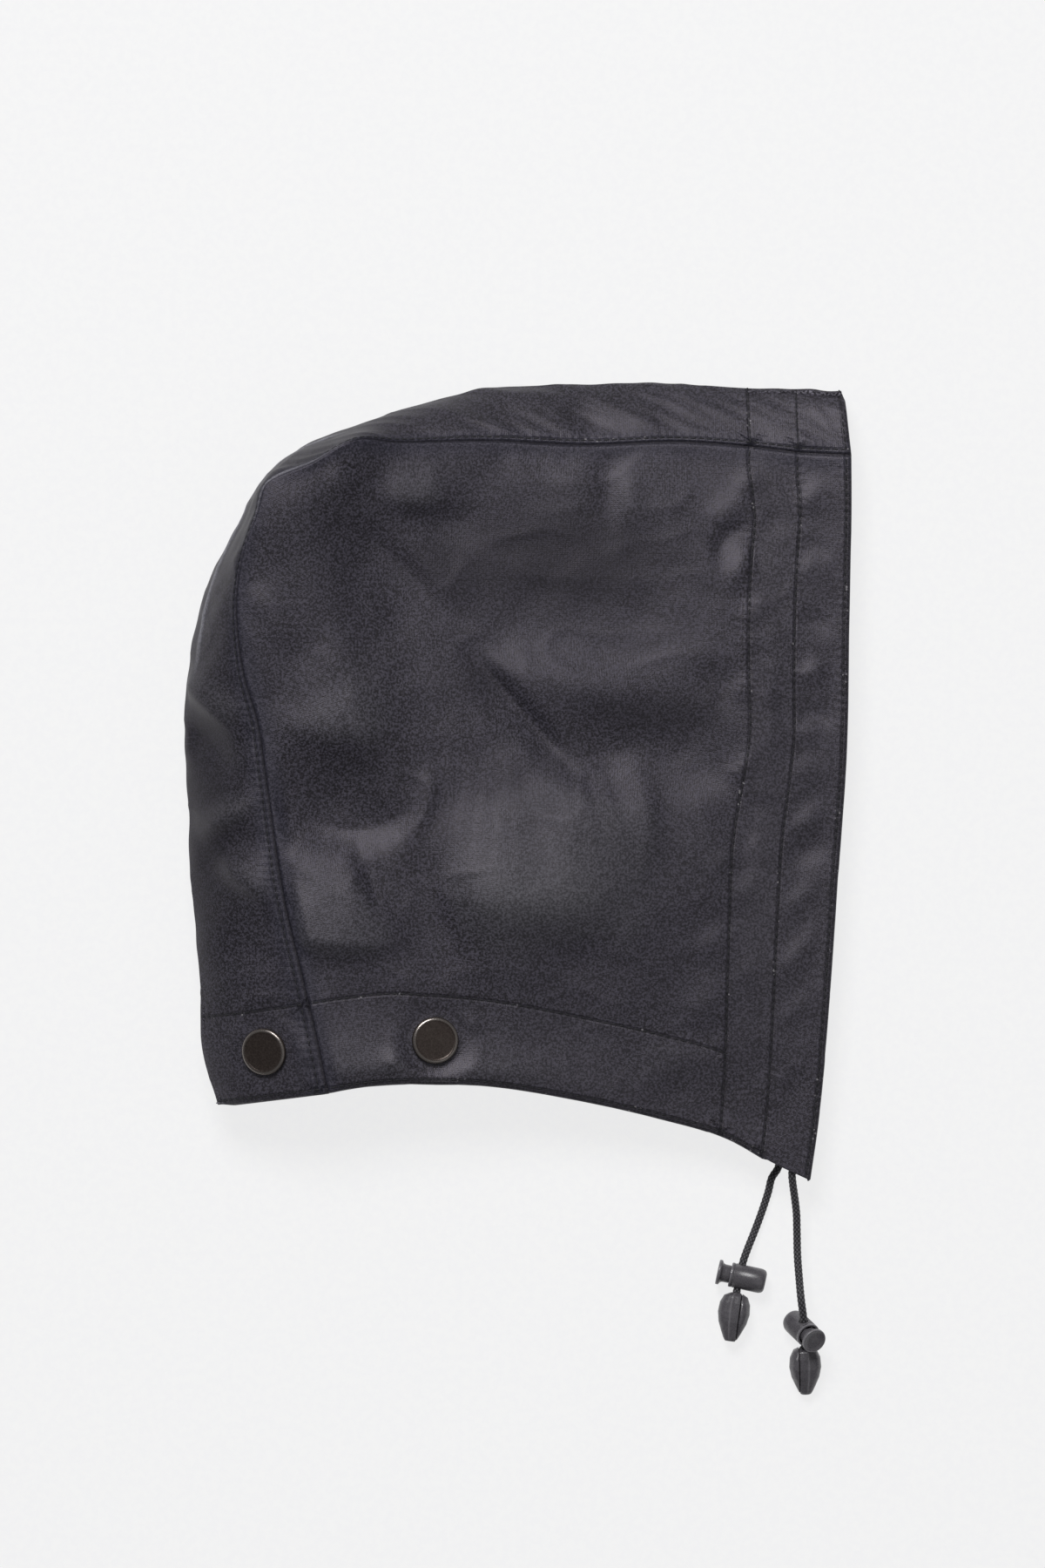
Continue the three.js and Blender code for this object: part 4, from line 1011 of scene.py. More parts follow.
# Painted highlight: the marked rims and the pod's ridge are painted bright.
colour = mixed(tree, maths(tree, "MULTIPLY", own_attribute(tree, "edge"), 0.75), colour, (0.27, 0.26, 0.28))
tree.links.new(colour, sockets["Base Color"])
gloss = maths(tree, "MULTIPLY_ADD", fine["Tone"], 0.08, 0.25)
tree.links.new(maths(tree, "MULTIPLY_ADD", rubbed, 0.12, gloss), sockets["Roughness"])
raise_surface(tree, sockets, maths(tree, "MULTIPLY", fine["Height"], 0.02))

for piece in cord_pieces.values():
    piece.data.materials.append(braid)
print("materials:", [made.name for made in (outer_cotton, inner_cotton_painted_lighter, thread, braid, gunmetal, plastic)])

# %% [markdown]
# ## The side panels
# A panel is a net of cells about 1.4 mm across, laid on the surface. Its cells are closer along the seam, and a line
# of them follows each stitch line, so that grooves come out crisp. Along the face edge and the neck hem the cloth
# is turned under in a small roll, as a hem is. Its back and front get their thickness from a Solidify modifier.

# %% Stitch lines, and cells of a side panel
EDGE_ROLL = 1.35 * MM
ROLL_STEPS = 7
EDGE_STITCH = 2.0
CHANNEL_CELL = CHANNEL_WIDTH / CHANNEL_COLUMNS
CHIN_CELL, NAPE_CELL = NECK_BAND_CHIN / NECK_ROWS, NECK_BAND_NAPE / NECK_ROWS
roll_column, edge_stitch_column = (COLUMNS - length / CHANNEL_CELL for length in (EDGE_ROLL, EDGE_STITCH * MM))
roll_row, edge_stitch_row = (length / CHIN_CELL for length in (EDGE_ROLL, EDGE_STITCH * MM))
roll_turns = np.linspace(0, np.pi, ROLL_STEPS + 1)[1:]


FACE_LINES = (CASING_WIDTH / MM, CHANNEL_WIDTH / MM, EDGE_STITCH)
DOUBLED_FADE = 1.5
NO_LINE = 20


def cells_between(*stretches):
    """Cell lines of several stretches, each given as start, end and number of cells."""
    lines = [np.linspace(start, end, count + 1)[:-1] for start, end, count in stretches]
    return np.concatenate([*lines, [stretches[-1][1]]])


def panel_cells(fine):
    """Cell lines of a side panel and how far each is turned under; fine scales how many there are."""
    def count(cells):
        return max(1, round(cells * fine))
    columns = cells_between((0, 0.3, count(8)), (0.3, BODY_COLUMNS, count(136)),
                            (BODY_COLUMNS, BODY_COLUMNS + CASING_COLUMNS, count(15)),
                            (BODY_COLUMNS + CASING_COLUMNS, edge_stitch_column, count(15)),
                            (edge_stitch_column, roll_column, 1))
    rows = cells_between((roll_row, edge_stitch_row, 1), (edge_stitch_row, NECK_ROWS, count(24)),
                         (NECK_ROWS, ROWS - 0.3, count(176)), (ROWS - 0.3, ROWS, count(8)))
    columns = np.concatenate([columns, np.full(ROLL_STEPS, roll_column)])
    rows = np.concatenate([np.full(ROLL_STEPS, roll_row), rows])
    column_turn = np.concatenate([np.zeros(len(columns) - ROLL_STEPS), roll_turns])
    row_turn = np.concatenate([roll_turns[::-1], np.zeros(len(rows) - ROLL_STEPS)])
    return columns, column_turn, rows, row_turn


def turned_under(surface, column, row, column_turn, row_turn):
    """Places on a panel whose face edge and hem are rolled under; the roll is left open at the channel's mouth."""
    place = surface(column, row)
    normal = outward_normals(surface, column, row)
    towards_face = place - surface(column - 0.05, row)
    towards_hem = place - surface(column, row + 0.05)
    towards_face /= np.linalg.norm(towards_face, axis=-1, keepdims=True)
    towards_hem /= np.linalg.norm(towards_hem, axis=-1, keepdims=True)
    mouth = gently((column - BODY_COLUMNS - CASING_COLUMNS) / 0.5) * (row_turn > 0) * (column_turn == 0)
    turn = np.hypot(column_turn, row_turn).clip(0, np.pi) * (1 - 0.55 * mouth)
    radius = EDGE_ROLL * (1 - 0.6 * mouth)
    way = towards_face * column_turn[..., None] + towards_hem * row_turn[..., None]
    way /= np.maximum(np.linalg.norm(way, axis=-1, keepdims=True), 1e-9)
    return (place + way * (radius * np.sin(turn))[..., None]
            - normal * (radius * (1 - np.cos(turn)))[..., None])


def mark_stitches(piece, lines, seam_gap, face_gap, hem_gap, neck_band):
    """Keeps for the finish, in millimetres, how far each point is from the nearest stitch line and how far along
    that line it lies, how far from a seam, and where the cloth is doubled."""
    gaps, runs = (np.array([line[k] for line in lines]) for k in (0, 1))
    nearest = gaps.argmin(0)[None]
    attribute(piece, "stitch_gap", np.take_along_axis(gaps, nearest, 0)[0])
    attribute(piece, "stitch_run", np.take_along_axis(runs, nearest, 0)[0])
    attribute(piece, "seam_gap", seam_gap)
    attribute(piece, "doubled", np.maximum(gently((CASING_WIDTH / MM - face_gap) / DOUBLED_FADE),
                                           gently((neck_band - hem_gap) / DOUBLED_FADE)))


def panel_stitches(piece, column, row):
    seam_gap, face_gap, hem_gap = from_edges(column, row)
    neck_band = np.interp(NECK_ROWS, range(ROWS + 1), (back_stops + face_stops) / 2) / MM
    past_body, past_casing = column > BODY_COLUMNS + 0.01, column > BODY_COLUMNS + CASING_COLUMNS
    lines = [*((np.abs(face_gap - line), hem_gap) for line in FACE_LINES),
             (np.abs(hem_gap - neck_band) + NO_LINE * past_body, face_gap),
             (np.abs(hem_gap - EDGE_STITCH) + NO_LINE * past_casing, face_gap)]
    mark_stitches(piece, lines, seam_gap, face_gap, hem_gap, neck_band)


def cloth_map(piece, across, along):
    """A UV map in metres, so that the weave follows the cloth."""
    layer = piece.data.uv_layers.new(name="cloth")
    corner = np.empty(len(piece.data.loops), int)
    piece.data.loops.foreach_get("vertex_index", corner)
    layer.data.foreach_set("uv", np.column_stack([across, along])[corner].ravel())


def thickened(piece, *cottons, flipped=False):
    """Closed cloth, in the first of its cottons outside and on its rim and in the last on its lining face."""
    if flipped:
        in_edit_mode(piece, bpy.ops.mesh.flip_normals)
    for cotton in cottons:
        piece.data.materials.append(cotton)
    add_modifier(piece, "SOLIDIFY", thickness=CLOTH, offset=-1, use_even_offset=False,
                 material_offset=len(cottons) - 1, use_rim=True)
    rounded(piece, 60)


def side_panel(name, surface, fine):
    columns, column_turns, rows, row_turns = panel_cells(fine)
    piece, u, v = grid_piece(name, len(columns) - 1, len(rows) - 1)
    i, j = net_line(u, len(columns)), net_line(v, len(rows))
    column, row = columns[i], rows[j]
    lay(piece, turned_under(surface, column, row, column_turns[i], row_turns[j]))
    panel_stitches(piece, column, row)
    _, face_gap, hem_gap = from_edges(column, row)
    cloth_map(piece, -face_gap * MM, hem_gap * MM)
    return piece, column, row


right_panel, column, row = side_panel("right_side_panel", side_surface, 1.0)
base = side_base(column, row)
crest = (side_surface(column, row) - base)[:, 2] / MM
attribute(right_panel, "crest", crest)
# Painted light and shade over the side panel.
attribute(right_panel, "painted_shading", painted_shading_tone(base[:, 0] / MM, base[:, 1] / MM))
thickened(right_panel, outer_cotton, inner_cotton_painted_lighter)
print(right_panel.name, len(right_panel.data.polygons), "faces, folds from", round(crest.min(), 1), "to",
      round(crest.max(), 1), "mm")

left_panel, column, row = side_panel("left_side_panel", lower_surface, 0.6)
for label in ("crest", "painted_shading"):
    attribute(left_panel, label, np.zeros(len(column)))
thickened(left_panel, outer_cotton, inner_cotton_painted_lighter, flipped=True)
print(left_panel.name, len(left_panel.data.polygons), "faces")

# %% [markdown]
# ## The centre strip
# One strip joins both sides from the brow to the nape. With the hood flat on its side it is folded in two along the
# outline, and at the crown corner it stands nearly upright, where the wax has cracked along the bends.

# %% Strip
roll_station = EDGE_ROLL / CHANNEL_CELL
last_station = COLUMNS + ROWS - EDGE_ROLL / NAPE_CELL
TOP_STITCH = 2.1
stitch_cell = TOP_STITCH * MM / (2 * STRIP_HALF_WIDTH)
NECK_LINE_DIP = 4.7  # how much nearer the hem the neck line runs at the middle of the strip, mm
BROW_TO_CROWN, NAPE_TO_CROWN = 230, 236


def strip_cells():
    """Stations of the strip, how far each is turned under, and its cell lines across."""
    stations = cells_between((roll_station, 6, 22), (6, 34, 272), (34, last_station, 58))
    cells = cells_between((0, stitch_cell, 4), (stitch_cell, 1 - stitch_cell, 60), (1 - stitch_cell, 1, 4))
    stations = np.concatenate([np.full(ROLL_STEPS, roll_station), stations, np.full(ROLL_STEPS, last_station)])
    turns = np.concatenate([-roll_turns[::-1], np.zeros(len(stations) - 2 * ROLL_STEPS), roll_turns])
    return stations, turns, cells


stations, turns, cells = strip_cells()
strip, u, v = grid_piece("centre_strip", len(stations) - 1, len(cells) - 1)
i, j = net_line(u, len(stations)), net_line(v, len(cells))
station, cell, turn = stations[i], cells[j], turns[i]
place, normal = strip_surface(station, cell), strip_normals(station, cell)
way = strip_surface(station + 0.02, cell) - strip_surface(station - 0.02, cell)
way /= np.linalg.norm(way, axis=1, keepdims=True)
roll_radius = EDGE_ROLL * (0.2 + 0.8 * gently((np.abs(cell - 0.5) - 0.02) / 0.1))
place += (way * (np.sign(turn) * roll_radius * np.sin(np.abs(turn)))[:, None]
          - normal * (roll_radius * (1 - np.cos(turn)))[:, None])
place[:, 2] = np.maximum(place[:, 2], 0)
lay(strip, place)
flat_stations = stations[ROLL_STEPS:-ROLL_STEPS]
run = np.interp(station, flat_stations, lengths(strip_base(flat_stations, np.zeros(len(flat_stations))))) / MM
seam_gap = np.minimum(cell, 1 - cell) * 2 * STRIP_HALF_WIDTH / MM
neck_band = NECK_BAND_NAPE / MM - NECK_LINE_DIP * np.sin(np.pi * cell)
front_gap = np.interp(station, [0, CHANNEL_COLUMNS, CHANNEL_COLUMNS + CASING_COLUMNS, COLUMNS],
                      [0, CHANNEL_WIDTH / MM, CASING_WIDTH / MM, BROW_TO_CROWN])
neck_gap = np.interp(station, [COLUMNS, COLUMNS + BODY_ROWS, COLUMNS + ROWS],
                     [NAPE_TO_CROWN, NECK_BAND_NAPE / MM, 0])
lines = [(np.abs(seam_gap - TOP_STITCH), run),
         *((np.abs(front_gap - line), seam_gap) for line in FACE_LINES),
         *((np.abs(neck_gap - line), seam_gap) for line in (neck_band, EDGE_STITCH))]
mark_stitches(strip, lines, seam_gap, front_gap, neck_gap, neck_band)
x, y = place[:, 0] / MM, place[:, 1] / MM
corner = near_corner(x, y, CRACKED_CORNER)
cracked = 4 * corner * (wax_creases(x, y, 31, 24) + 0.7 * wax_creases(x, y, 37, 15))
# Painted light and shade over the strip, with painted shade over its crown corner.
attribute(strip, "painted_shading", np.clip(painted_shading_tone(x, y) - 1.1 * corner, -1, 1) * gently((0.55 - cell) / 0.1))
attribute(strip, "crest", fold_height(x, y, STRIP_FOLDS) * gently((0.5 - cell) / 0.1) + cracked)
attribute(strip, "worn", worn_crest(x, y, cell, seam_gap))
cloth_map(strip, cell * 2 * STRIP_HALF_WIDTH, run * MM)
thickened(strip, outer_cotton, inner_cotton_painted_lighter, flipped=True)
print(strip.name, len(strip.data.polygons), "faces")

# %% [markdown]
# ## The inner plies
# Behind the two stitch lines at the face edge lies a second ply: between them and the edge it forms the channel of
# the drawcord. Behind the neck's stitch line lies the neck facing, which the studs grip. Both follow the outer
# cloth 0.3 mm below it, round the folded strip and back along the lower side.

# %% Casing and facing
FIRST_CELL = 1 / 8
PLAIN_CLOTH = {"stitch_gap": 9.0, "stitch_run": 0.0, "seam_gap": 30.0, "crest": 0.0, "doubled": 0.0, "painted_shading": 0.0}


def on_net(surface, first, second, indexing="xy"):
    """Places and normals on a net of a surface."""
    first, second = np.meshgrid(first, second, indexing=indexing)
    return surface(first, second), outward_normals(surface, first, second)


def inner_ply(name, depth, *legs):
    """A ply under several stretches of surface, each given as places and normals on a net, joined end to end."""
    places, normals = (np.concatenate([leg[k] for leg in legs]) for k in (0, 1))
    count, width = places.shape[:2]
    piece, u, v = grid_piece(name, width - 1, count - 1)
    i, j = net_line(u, width), net_line(v, count)
    down = depth(np.broadcast_to(np.linspace(0, 1, width), (count, width)))
    lay(piece, (places - normals * down[..., None])[j, i])
    for label, value in PLAIN_CLOTH.items():
        attribute(piece, label, np.full(len(u), value))
    run = lengths(places[:, width // 2])
    cloth_map(piece, u * np.linalg.norm(places[0, 0] - places[0, -1]), run[j])
    thickened(piece, inner_cotton_painted_lighter)
    print(name, len(piece.data.polygons), "faces")
    return piece


casing_rows = np.linspace(roll_row + 0.05, ROWS - 0.06, 118)
casing_columns = np.linspace(BODY_COLUMNS, roll_column - 0.02, 30)
facing_rows = np.linspace(roll_row + 0.05, NECK_ROWS - 0.03, 24)
facing_columns = np.linspace(BODY_COLUMNS - 0.06, 0.08, 110)
strip_turns = np.linspace(FIRST_CELL, 1 - FIRST_CELL, 34)
mouth_rows = np.concatenate([casing_rows, np.full(len(strip_turns), ROWS), casing_rows[::-1]])


def casing_depth(across):
    """The casing lies on the outer cloth, and the drawcord holds its channel open at both mouths."""
    column = BODY_COLUMNS + across * (roll_column - BODY_COLUMNS)
    inside = gently((column - 16.2) / 0.7) * gently((19.6 - column) / 0.5)
    opened = inside * (1 - gently((mouth_rows - 1) / 2))[:, None]
    return CLOTH + PLY_GAP + opened * (CORD_DIAMETER + 2 * CORD_CLEARANCE - PLY_GAP)


def facing_depth(across):
    return np.full(across.shape, CLOTH + PLY_GAP)


casing = inner_ply("drawcord_casing", casing_depth,
                   on_net(side_surface, casing_columns, casing_rows),
                   on_net(strip_surface, COLUMNS - casing_columns, strip_turns),
                   on_net(lower_surface, casing_columns, casing_rows[::-1]))
facing = inner_ply("neck_facing_ply", facing_depth,
                   on_net(side_surface, facing_columns, facing_rows, "ij"),
                   on_net(strip_surface, COLUMNS + ROWS - facing_rows, strip_turns),
                   on_net(lower_surface, facing_columns[::-1], facing_rows, "ij"))

# %% [markdown]
# ## Stitches
# A lockstitch shows as a row of short threads, each sunk a little at its ends. One stitch is modelled, a small
# spindle, and copied along each stitch line 3 mm apart. The lines run 2 mm inside the edges, along both sides of
# the strip, and where the casing and the neck facing are sewn down.

# %% One stitch
STITCH_PITCH, STITCH_LENGTH, STITCH_WIDTH = 3 * MM, 2.4 * MM, 0.72 * MM
nothing_selected()
bpy.ops.mesh.primitive_uv_sphere_add(segments=6, ring_count=5, radius=0.5, rotation=(0, math.pi / 2, 0))
stitch = bpy.context.object
stitch.name = "one_stitch"
bpy.ops.object.transform_apply(location=False, rotation=True, scale=False)
in_edit_mode(stitch, lambda: bpy.ops.transform.resize(value=(STITCH_LENGTH, STITCH_WIDTH, 0.75 * STITCH_WIDTH)))
stitch_points = np.array([v.co for v in stitch.data.vertices])
stitch_faces = [tuple(p.vertices) for p in stitch.data.polygons]
bpy.data.objects.remove(stitch)
print("one stitch has", len(stitch_faces), "faces")


def row_of_stitches(surface, first, second, depth):
    """Places of the stitches along a line of a surface, each as a middle, the way it runs and the way out."""
    normal = outward_normals(surface, first, second)
    place = surface(first, second) - normal * depth
    gone = lengths(place)
    count = int(gone[-1] / STITCH_PITCH)
    spots = (np.arange(count) + 0.5) * gone[-1] / count
    middle = at_length(place, spots)
    way = at_length(place, spots + 0.6 * MM) - at_length(place, spots - 0.6 * MM)
    out = between(normal, gone, spots) * (1 if depth == 0 else -1)
    return middle, way / np.linalg.norm(way, axis=1, keepdims=True), out


def sewn(name, rows, lowest=None):
    """All stitches of several rows as one piece of thread, pressed flat at the lowest height that is given."""
    middle, way, out = (np.concatenate([row[k] for row in rows]) for k in range(3))
    chance = np.random.RandomState(len(middle))
    side = np.cross(out, way)
    side /= np.linalg.norm(side, axis=1, keepdims=True)
    up = np.cross(way, side)
    way = way + side * chance.uniform(-0.09, 0.09, len(way))[:, None]
    lift = chance.uniform(-0.06, 0.02, len(way)) * MM
    size = chance.uniform(0.9, 1.06, len(way))
    points = (middle[:, None] + stitch_points[None, :, 0:1] * (way * size[:, None])[:, None]
              + stitch_points[None, :, 1:2] * side[:, None]
              + (stitch_points[None, :, 2:3] + lift[:, None, None]) * up[:, None]).reshape(-1, 3)
    if lowest is not None:
        points[:, 2] = np.maximum(points[:, 2], lowest)
    faces = [tuple(k * len(stitch_points) + corner for corner in face)
             for k in range(len(middle)) for face in stitch_faces]
    mesh = bpy.data.meshes.new(name)
    mesh.from_pydata(points.tolist(), [], faces)
    piece = bpy.data.objects.new(name, mesh)
    bpy.context.collection.objects.link(piece)
    faces_outwards(piece)
    finished(piece, thread, 80)
    print(name, len(middle), "stitches")
    return piece


# %% Rows of stitches
def line_of(value, low, high, count=240):
    """A straight line over a surface's net: one number stays and the other runs from low to high."""
    return np.full(count, float(value)), np.linspace(low, high, count)


def panel_rows(surface, depth=0.0):
    """Lines up a side panel beside its face edge, and along its neck band and hem."""
    channel = BODY_COLUMNS + CASING_COLUMNS
    rows = [line_of(column, edge_stitch_row, ROWS - 0.1)
            for column in (BODY_COLUMNS, channel, edge_stitch_column)]
    rows += [line_of(row, 0.12, last)[::-1]
             for row, last in ((NECK_ROWS, BODY_COLUMNS), (edge_stitch_row, channel))]
    return [row_of_stitches(surface, *row, depth) for row in rows]


def strip_rows(depth=0.0):
    """Lines across the strip, and on the outside one beside each of its seams."""
    rows = [line_of(station, 0.02, 0.98)
            for station in (COLUMNS - edge_stitch_column, CHANNEL_COLUMNS, CHANNEL_COLUMNS + CASING_COLUMNS,
                            COLUMNS + BODY_ROWS, COLUMNS + ROWS - edge_stitch_row)]
    neck_line, cell = rows[3]
    rows[3] = (neck_line + NECK_LINE_DIP * MM / NAPE_CELL * np.sin(np.pi * cell), cell)
    if not depth:
        rows += [line_of(cell, 0.3, COLUMNS + ROWS - 0.3, 900)[::-1] for cell in (stitch_cell, 1 - stitch_cell)]
    return [row_of_stitches(strip_surface, *row, depth) for row in rows]


inner_face = 2 * CLOTH + PLY_GAP
inner_rows = panel_rows(side_surface, inner_face) + panel_rows(lower_surface, inner_face) + strip_rows(inner_face)
stitches = [
    sewn("right_side_stitches", panel_rows(side_surface)),
    sewn("left_side_stitches", panel_rows(lower_surface), ABOVE_SURFACE),
    sewn("strip_stitches", strip_rows(), ABOVE_SURFACE),
    sewn("inner_stitches", inner_rows),
]

# %% [markdown]
# ## Press studs
# A press stud is a shallow metal cap on the outside, a post through the cloth and a socket on the inside that snaps
# over the ball on the coat. All of it is round, so it is drawn out of one circle, ring by ring. The rim of the cap
# is bevelled and rubbed shiny, a ring on it is painted bright as a painted highlight, and its face is smooth and
# very slightly domed.

# %% A round piece, ring by ring
def round_piece(name, outline, sides):
    """A closed piece about +Z: a ring of the first radius is extruded, moved and resized to each next one."""
    nothing_selected()
    (radius, height), *others = outline
    bpy.ops.mesh.primitive_circle_add(vertices=sides, radius=radius * MM, location=(0, 0, height * MM),
                                      fill_type="NGON")
    piece = bpy.context.object
    piece.name = piece.data.name = name
    bpy.ops.object.transform_apply(location=True, rotation=False, scale=False)
    bpy.ops.object.mode_set(mode="EDIT")
    bpy.ops.mesh.select_all(action="SELECT")
    for next_radius, next_height in others:
        bpy.ops.mesh.extrude_region_move(TRANSFORM_OT_translate={"value": (0, 0, (next_height - height) * MM)})
        bpy.ops.transform.resize(value=(next_radius / radius, next_radius / radius, 1))
        radius, height = next_radius, next_height
    bpy.ops.mesh.select_all(action="SELECT")
    bpy.ops.mesh.normals_make_consistent(inside=False)
    bpy.ops.object.mode_set(mode="OBJECT")
    return piece


def place_piece(piece, matrix):
    piece.data.transform(matrix)
    piece.data.update()


def copied(piece, name):
    twin = piece.copy()
    twin.data = piece.data.copy()
    twin.name = twin.data.name = name
    bpy.context.collection.objects.link(twin)
    return twin


def mark_painted_highlight(piece, test):
    """Marks, from 0 to 1, where a piece is painted bright as a painted highlight. Its test reads a point in
    millimetres.
    """
    attribute(piece, "edge", [test(*(v.co / MM)) for v in piece.data.vertices])


# %% One stud, and its four copies
STUD_BOW = 0.6  # room for the cloth's curve under each plate
STUD_GRIP = (2 * CLOTH + 3 * PLY_GAP) / MM + 2 * STUD_BOW
STUD = [  # radius, height above the seat of the cap: from the middle of the socket's mouth, out and up
    (0.6, -STUD_GRIP - 1.1), (2.9, -STUD_GRIP - 1.1), (2.9, -STUD_GRIP - 2.85), (3.3, -STUD_GRIP - 3.0),
    (4.9, -STUD_GRIP - 3.0), (5.4, -STUD_GRIP - 2.6), (5.5, -STUD_GRIP - 1.3), (6.2, -STUD_GRIP - 0.95),
    (6.2, -STUD_GRIP - 0.15), (6.0, -STUD_GRIP), (2.0, -STUD_GRIP), (2.0, 0.0), (8.55, 0.0), (8.82, 0.12),
    (8.9, 0.35), (8.9, 0.95), (8.78, 1.28), (8.5, 1.58), (8.1, 1.78), (7.7, 1.84), (7.45, 1.82), (7.25, 1.72),
    (7.0, 1.66), (5.0, 1.74), (2.6, 1.8), (0.4, 1.82),
]


# A bright ring painted on the rim of the cap, a painted highlight: its radius, its reach and the height above which
# it lies.
HIGHLIGHT_RING, RING_REACH, RING_ABOVE = 8.15, 0.55, 1.2


def stud_rim_highlight(x, y, z):
    return max(0.0, 1 - abs(math.hypot(x, y) - HIGHLIGHT_RING) / RING_REACH) if z > RING_ABOVE else 0.0


stud = round_piece("one_stud", STUD, 72)
mark_painted_highlight(stud, stud_rim_highlight)
finished(stud, gunmetal, 50)
for name in STUDS:
    seat, outwards = stud_seats[name]
    piece = copied(stud, name + "_fine")
    place_piece(piece, frame_at(seat, outwards, (1, 0, 0)))
    belongs(piece, "hood", "stud_metal", name)
bpy.data.objects.remove(stud)
print("four studs of", round(2 * STUD_CAP_RADIUS / MM, 1), "mm")

# %% [markdown]
# ## Cord locks
# A cord lock is a plastic barrel, open at the top, with a sprung button in it. Barrel and button each have a hole
# across; pressing lines the two holes up, and the cord slides. The button's stem flares to a dished flange that the
# thumb presses. The button is its own piece, because it moves along its barrel.

# %% Barrel and button
CORD_HOLE = 1.8  # radius of each hole that the cord passes
BUTTON_TRAVEL = 2.4
RIM_REACH = 0.45
BARREL = [  # radius, height above the cord's hole, from the floor inside the barrel outwards
    (3.5, -8.9), (3.7, -8.7), (3.7, 3.45), (3.95, 3.8), (4.4, 3.8), (4.62, 3.7), (4.7, 3.4), (4.7, 2.75),
    (4.55, 2.6), (4.55, 2.35), (4.7, 2.2), (4.7, -7.2), (4.62, -8.2), (4.3, -9.1), (3.7, -9.65), (2.9, -9.88),
    (0.5, -9.9),
]
BUTTON = [
    (0.5, -4.0), (3.2, -4.0), (3.4, -3.8), (3.4, 5.9), (3.5, 6.5), (3.85, 7.05), (4.4, 7.38), (4.68, 7.5),
    (4.75, 7.68), (4.75, 8.36), (4.66, 8.6), (4.45, 8.7), (4.1, 8.68), (3.85, 8.5), (3.6, 8.36), (2.4, 8.24),
    (1.0, 8.2), (0.3, 8.2),
]


def cut_away(piece, tool):
    add_modifier(piece, "BOOLEAN", object=tool, operation="DIFFERENCE", solver="EXACT")
    bpy.data.objects.remove(tool)


def drilled(piece, travel):
    """Cuts the cord's hole across a piece, made a slot by the button's travel, so that the cord never bars it."""
    nothing_selected()
    bpy.ops.mesh.primitive_cylinder_add(vertices=32, radius=CORD_HOLE * MM, depth=20 * MM,
                                        rotation=(0, math.pi / 2, 0))
    tool = bpy.context.object
    bpy.ops.object.transform_apply(location=False, rotation=True, scale=False)
    for vertex in tool.data.vertices:
        if vertex.co.z > 1e-6:
            vertex.co.z += travel * MM
    cut_away(piece, tool)


def highlighted_rims(piece, *rims):
    """Paints a highlight on the rims of a round piece; each rim is its radius and its height."""
    def highlight_at(x, y, z):
        return max(max(0.0, 1 - math.hypot(math.hypot(x, y) - radius, z - height) / RIM_REACH)
                   for radius, height in rims)
    mark_painted_highlight(piece, highlight_at)


lock_parts = {}
for part, outline_rings, travel, rims in (("barrel", BARREL, 0, [(4.62, 3.7), (4.7, -7.7)]),
                                          ("button", BUTTON, BUTTON_TRAVEL, [(4.7, 8.6)])):
    made = round_piece("one_" + part, outline_rings, 56)
    drilled(made, travel)
    highlighted_rims(made, *rims)
    finished(made, plastic, 45)
    lock_parts[part] = made
for side, lock in locks.items():
    for part, body in (("barrel", "hood"), ("button", side + "_button")):
        piece = copied(lock_parts[part], f"{side}_{part}_fine")
        place_piece(piece, lock)
        belongs(piece, body, "black_plastic", f"{side}_lock_{part}")
for made in lock_parts.values():
    bpy.data.objects.remove(made)
heights = [height for _, height in BARREL]
print("two locks of", round(max(heights) - min(heights), 1), "mm with buttons")

# %% [markdown]
# ## Cord ends
# The knot at the end of each cord is hidden in a small pod. Its shell and its clip close round the cord and snap
# together along one side. The pod tapers to a square tip; the shell has a soft ridge along it and the clip an oval
# boss. Both are cut from one form, so that they meet exactly.

# %% Shell and clip
POD_LENGTH, POD_WIDTH, POD_HEIGHT, CLIP_PLANE, PARTING = 18.6, 12.2, 9.6, 2.1, 0.55
LIP_INSET, LIP_GAP, POD_SOCKET = 0.9, 0.05, 4
RIDGE_PLACE = -0.25  # share of half the width
POD = [  # share of the length, of half the width, of half the height
    (0.0, 0.30, 0.33), (0.012, 0.40, 0.43), (0.07, 0.74, 0.72), (0.22, 0.95, 0.93), (0.42, 1.00, 1.00),
    (0.62, 0.88, 0.90), (0.82, 0.62, 0.64), (0.93, 0.46, 0.48), (0.985, 0.36, 0.38), (1.0, 0.28, 0.30),
]


def pod_form(name):
    """The whole pod along -Z: rings of a grid, squared off a little, with a ridge and a boss."""
    piece, u, v = grid_piece(name, 72, 84)
    shares = np.array(POD)
    wide = np.interp(v, shares[:, 0], shares[:, 1]) * POD_WIDTH / 2
    high = np.interp(v, shares[:, 0], shares[:, 2]) * POD_HEIGHT / 2
    turn = 2 * np.pi * u
    x, y = (np.sign(f) * np.abs(f) ** 0.8 for f in (np.cos(turn), np.sin(turn)))
    ridge = 0.35 * np.exp(-((x - RIDGE_PLACE) / 0.10) ** 2) * gently(v / 0.15) * gently((1 - v) / 0.15)
    boss_away = np.hypot((v - 0.42) * POD_LENGTH / 6.2, (x - 0.62) / 0.26)
    boss = 0.75 * gently((1.25 - boss_away) / 0.8)
    rise = 1 + (ridge + boss) * 2 / POD_HEIGHT
    lay(piece, np.column_stack([x * wide, y * high * rise, -v * POD_LENGTH]) * MM)
    closed_tube(piece)
    return piece


def ridge_highlight(x, y, z):
    """How bright the crest of the ridge is painted at a point, a painted highlight, all the way round the half of
    the pod that has it.
    """
    share, wide, _ = zip(*POD)
    across = x / (np.interp(-z / POD_LENGTH, share, wide) * POD_WIDTH / 2)
    return 0.55 * max(0.0, 1 - abs(across - RIDGE_PLACE) / 0.07)


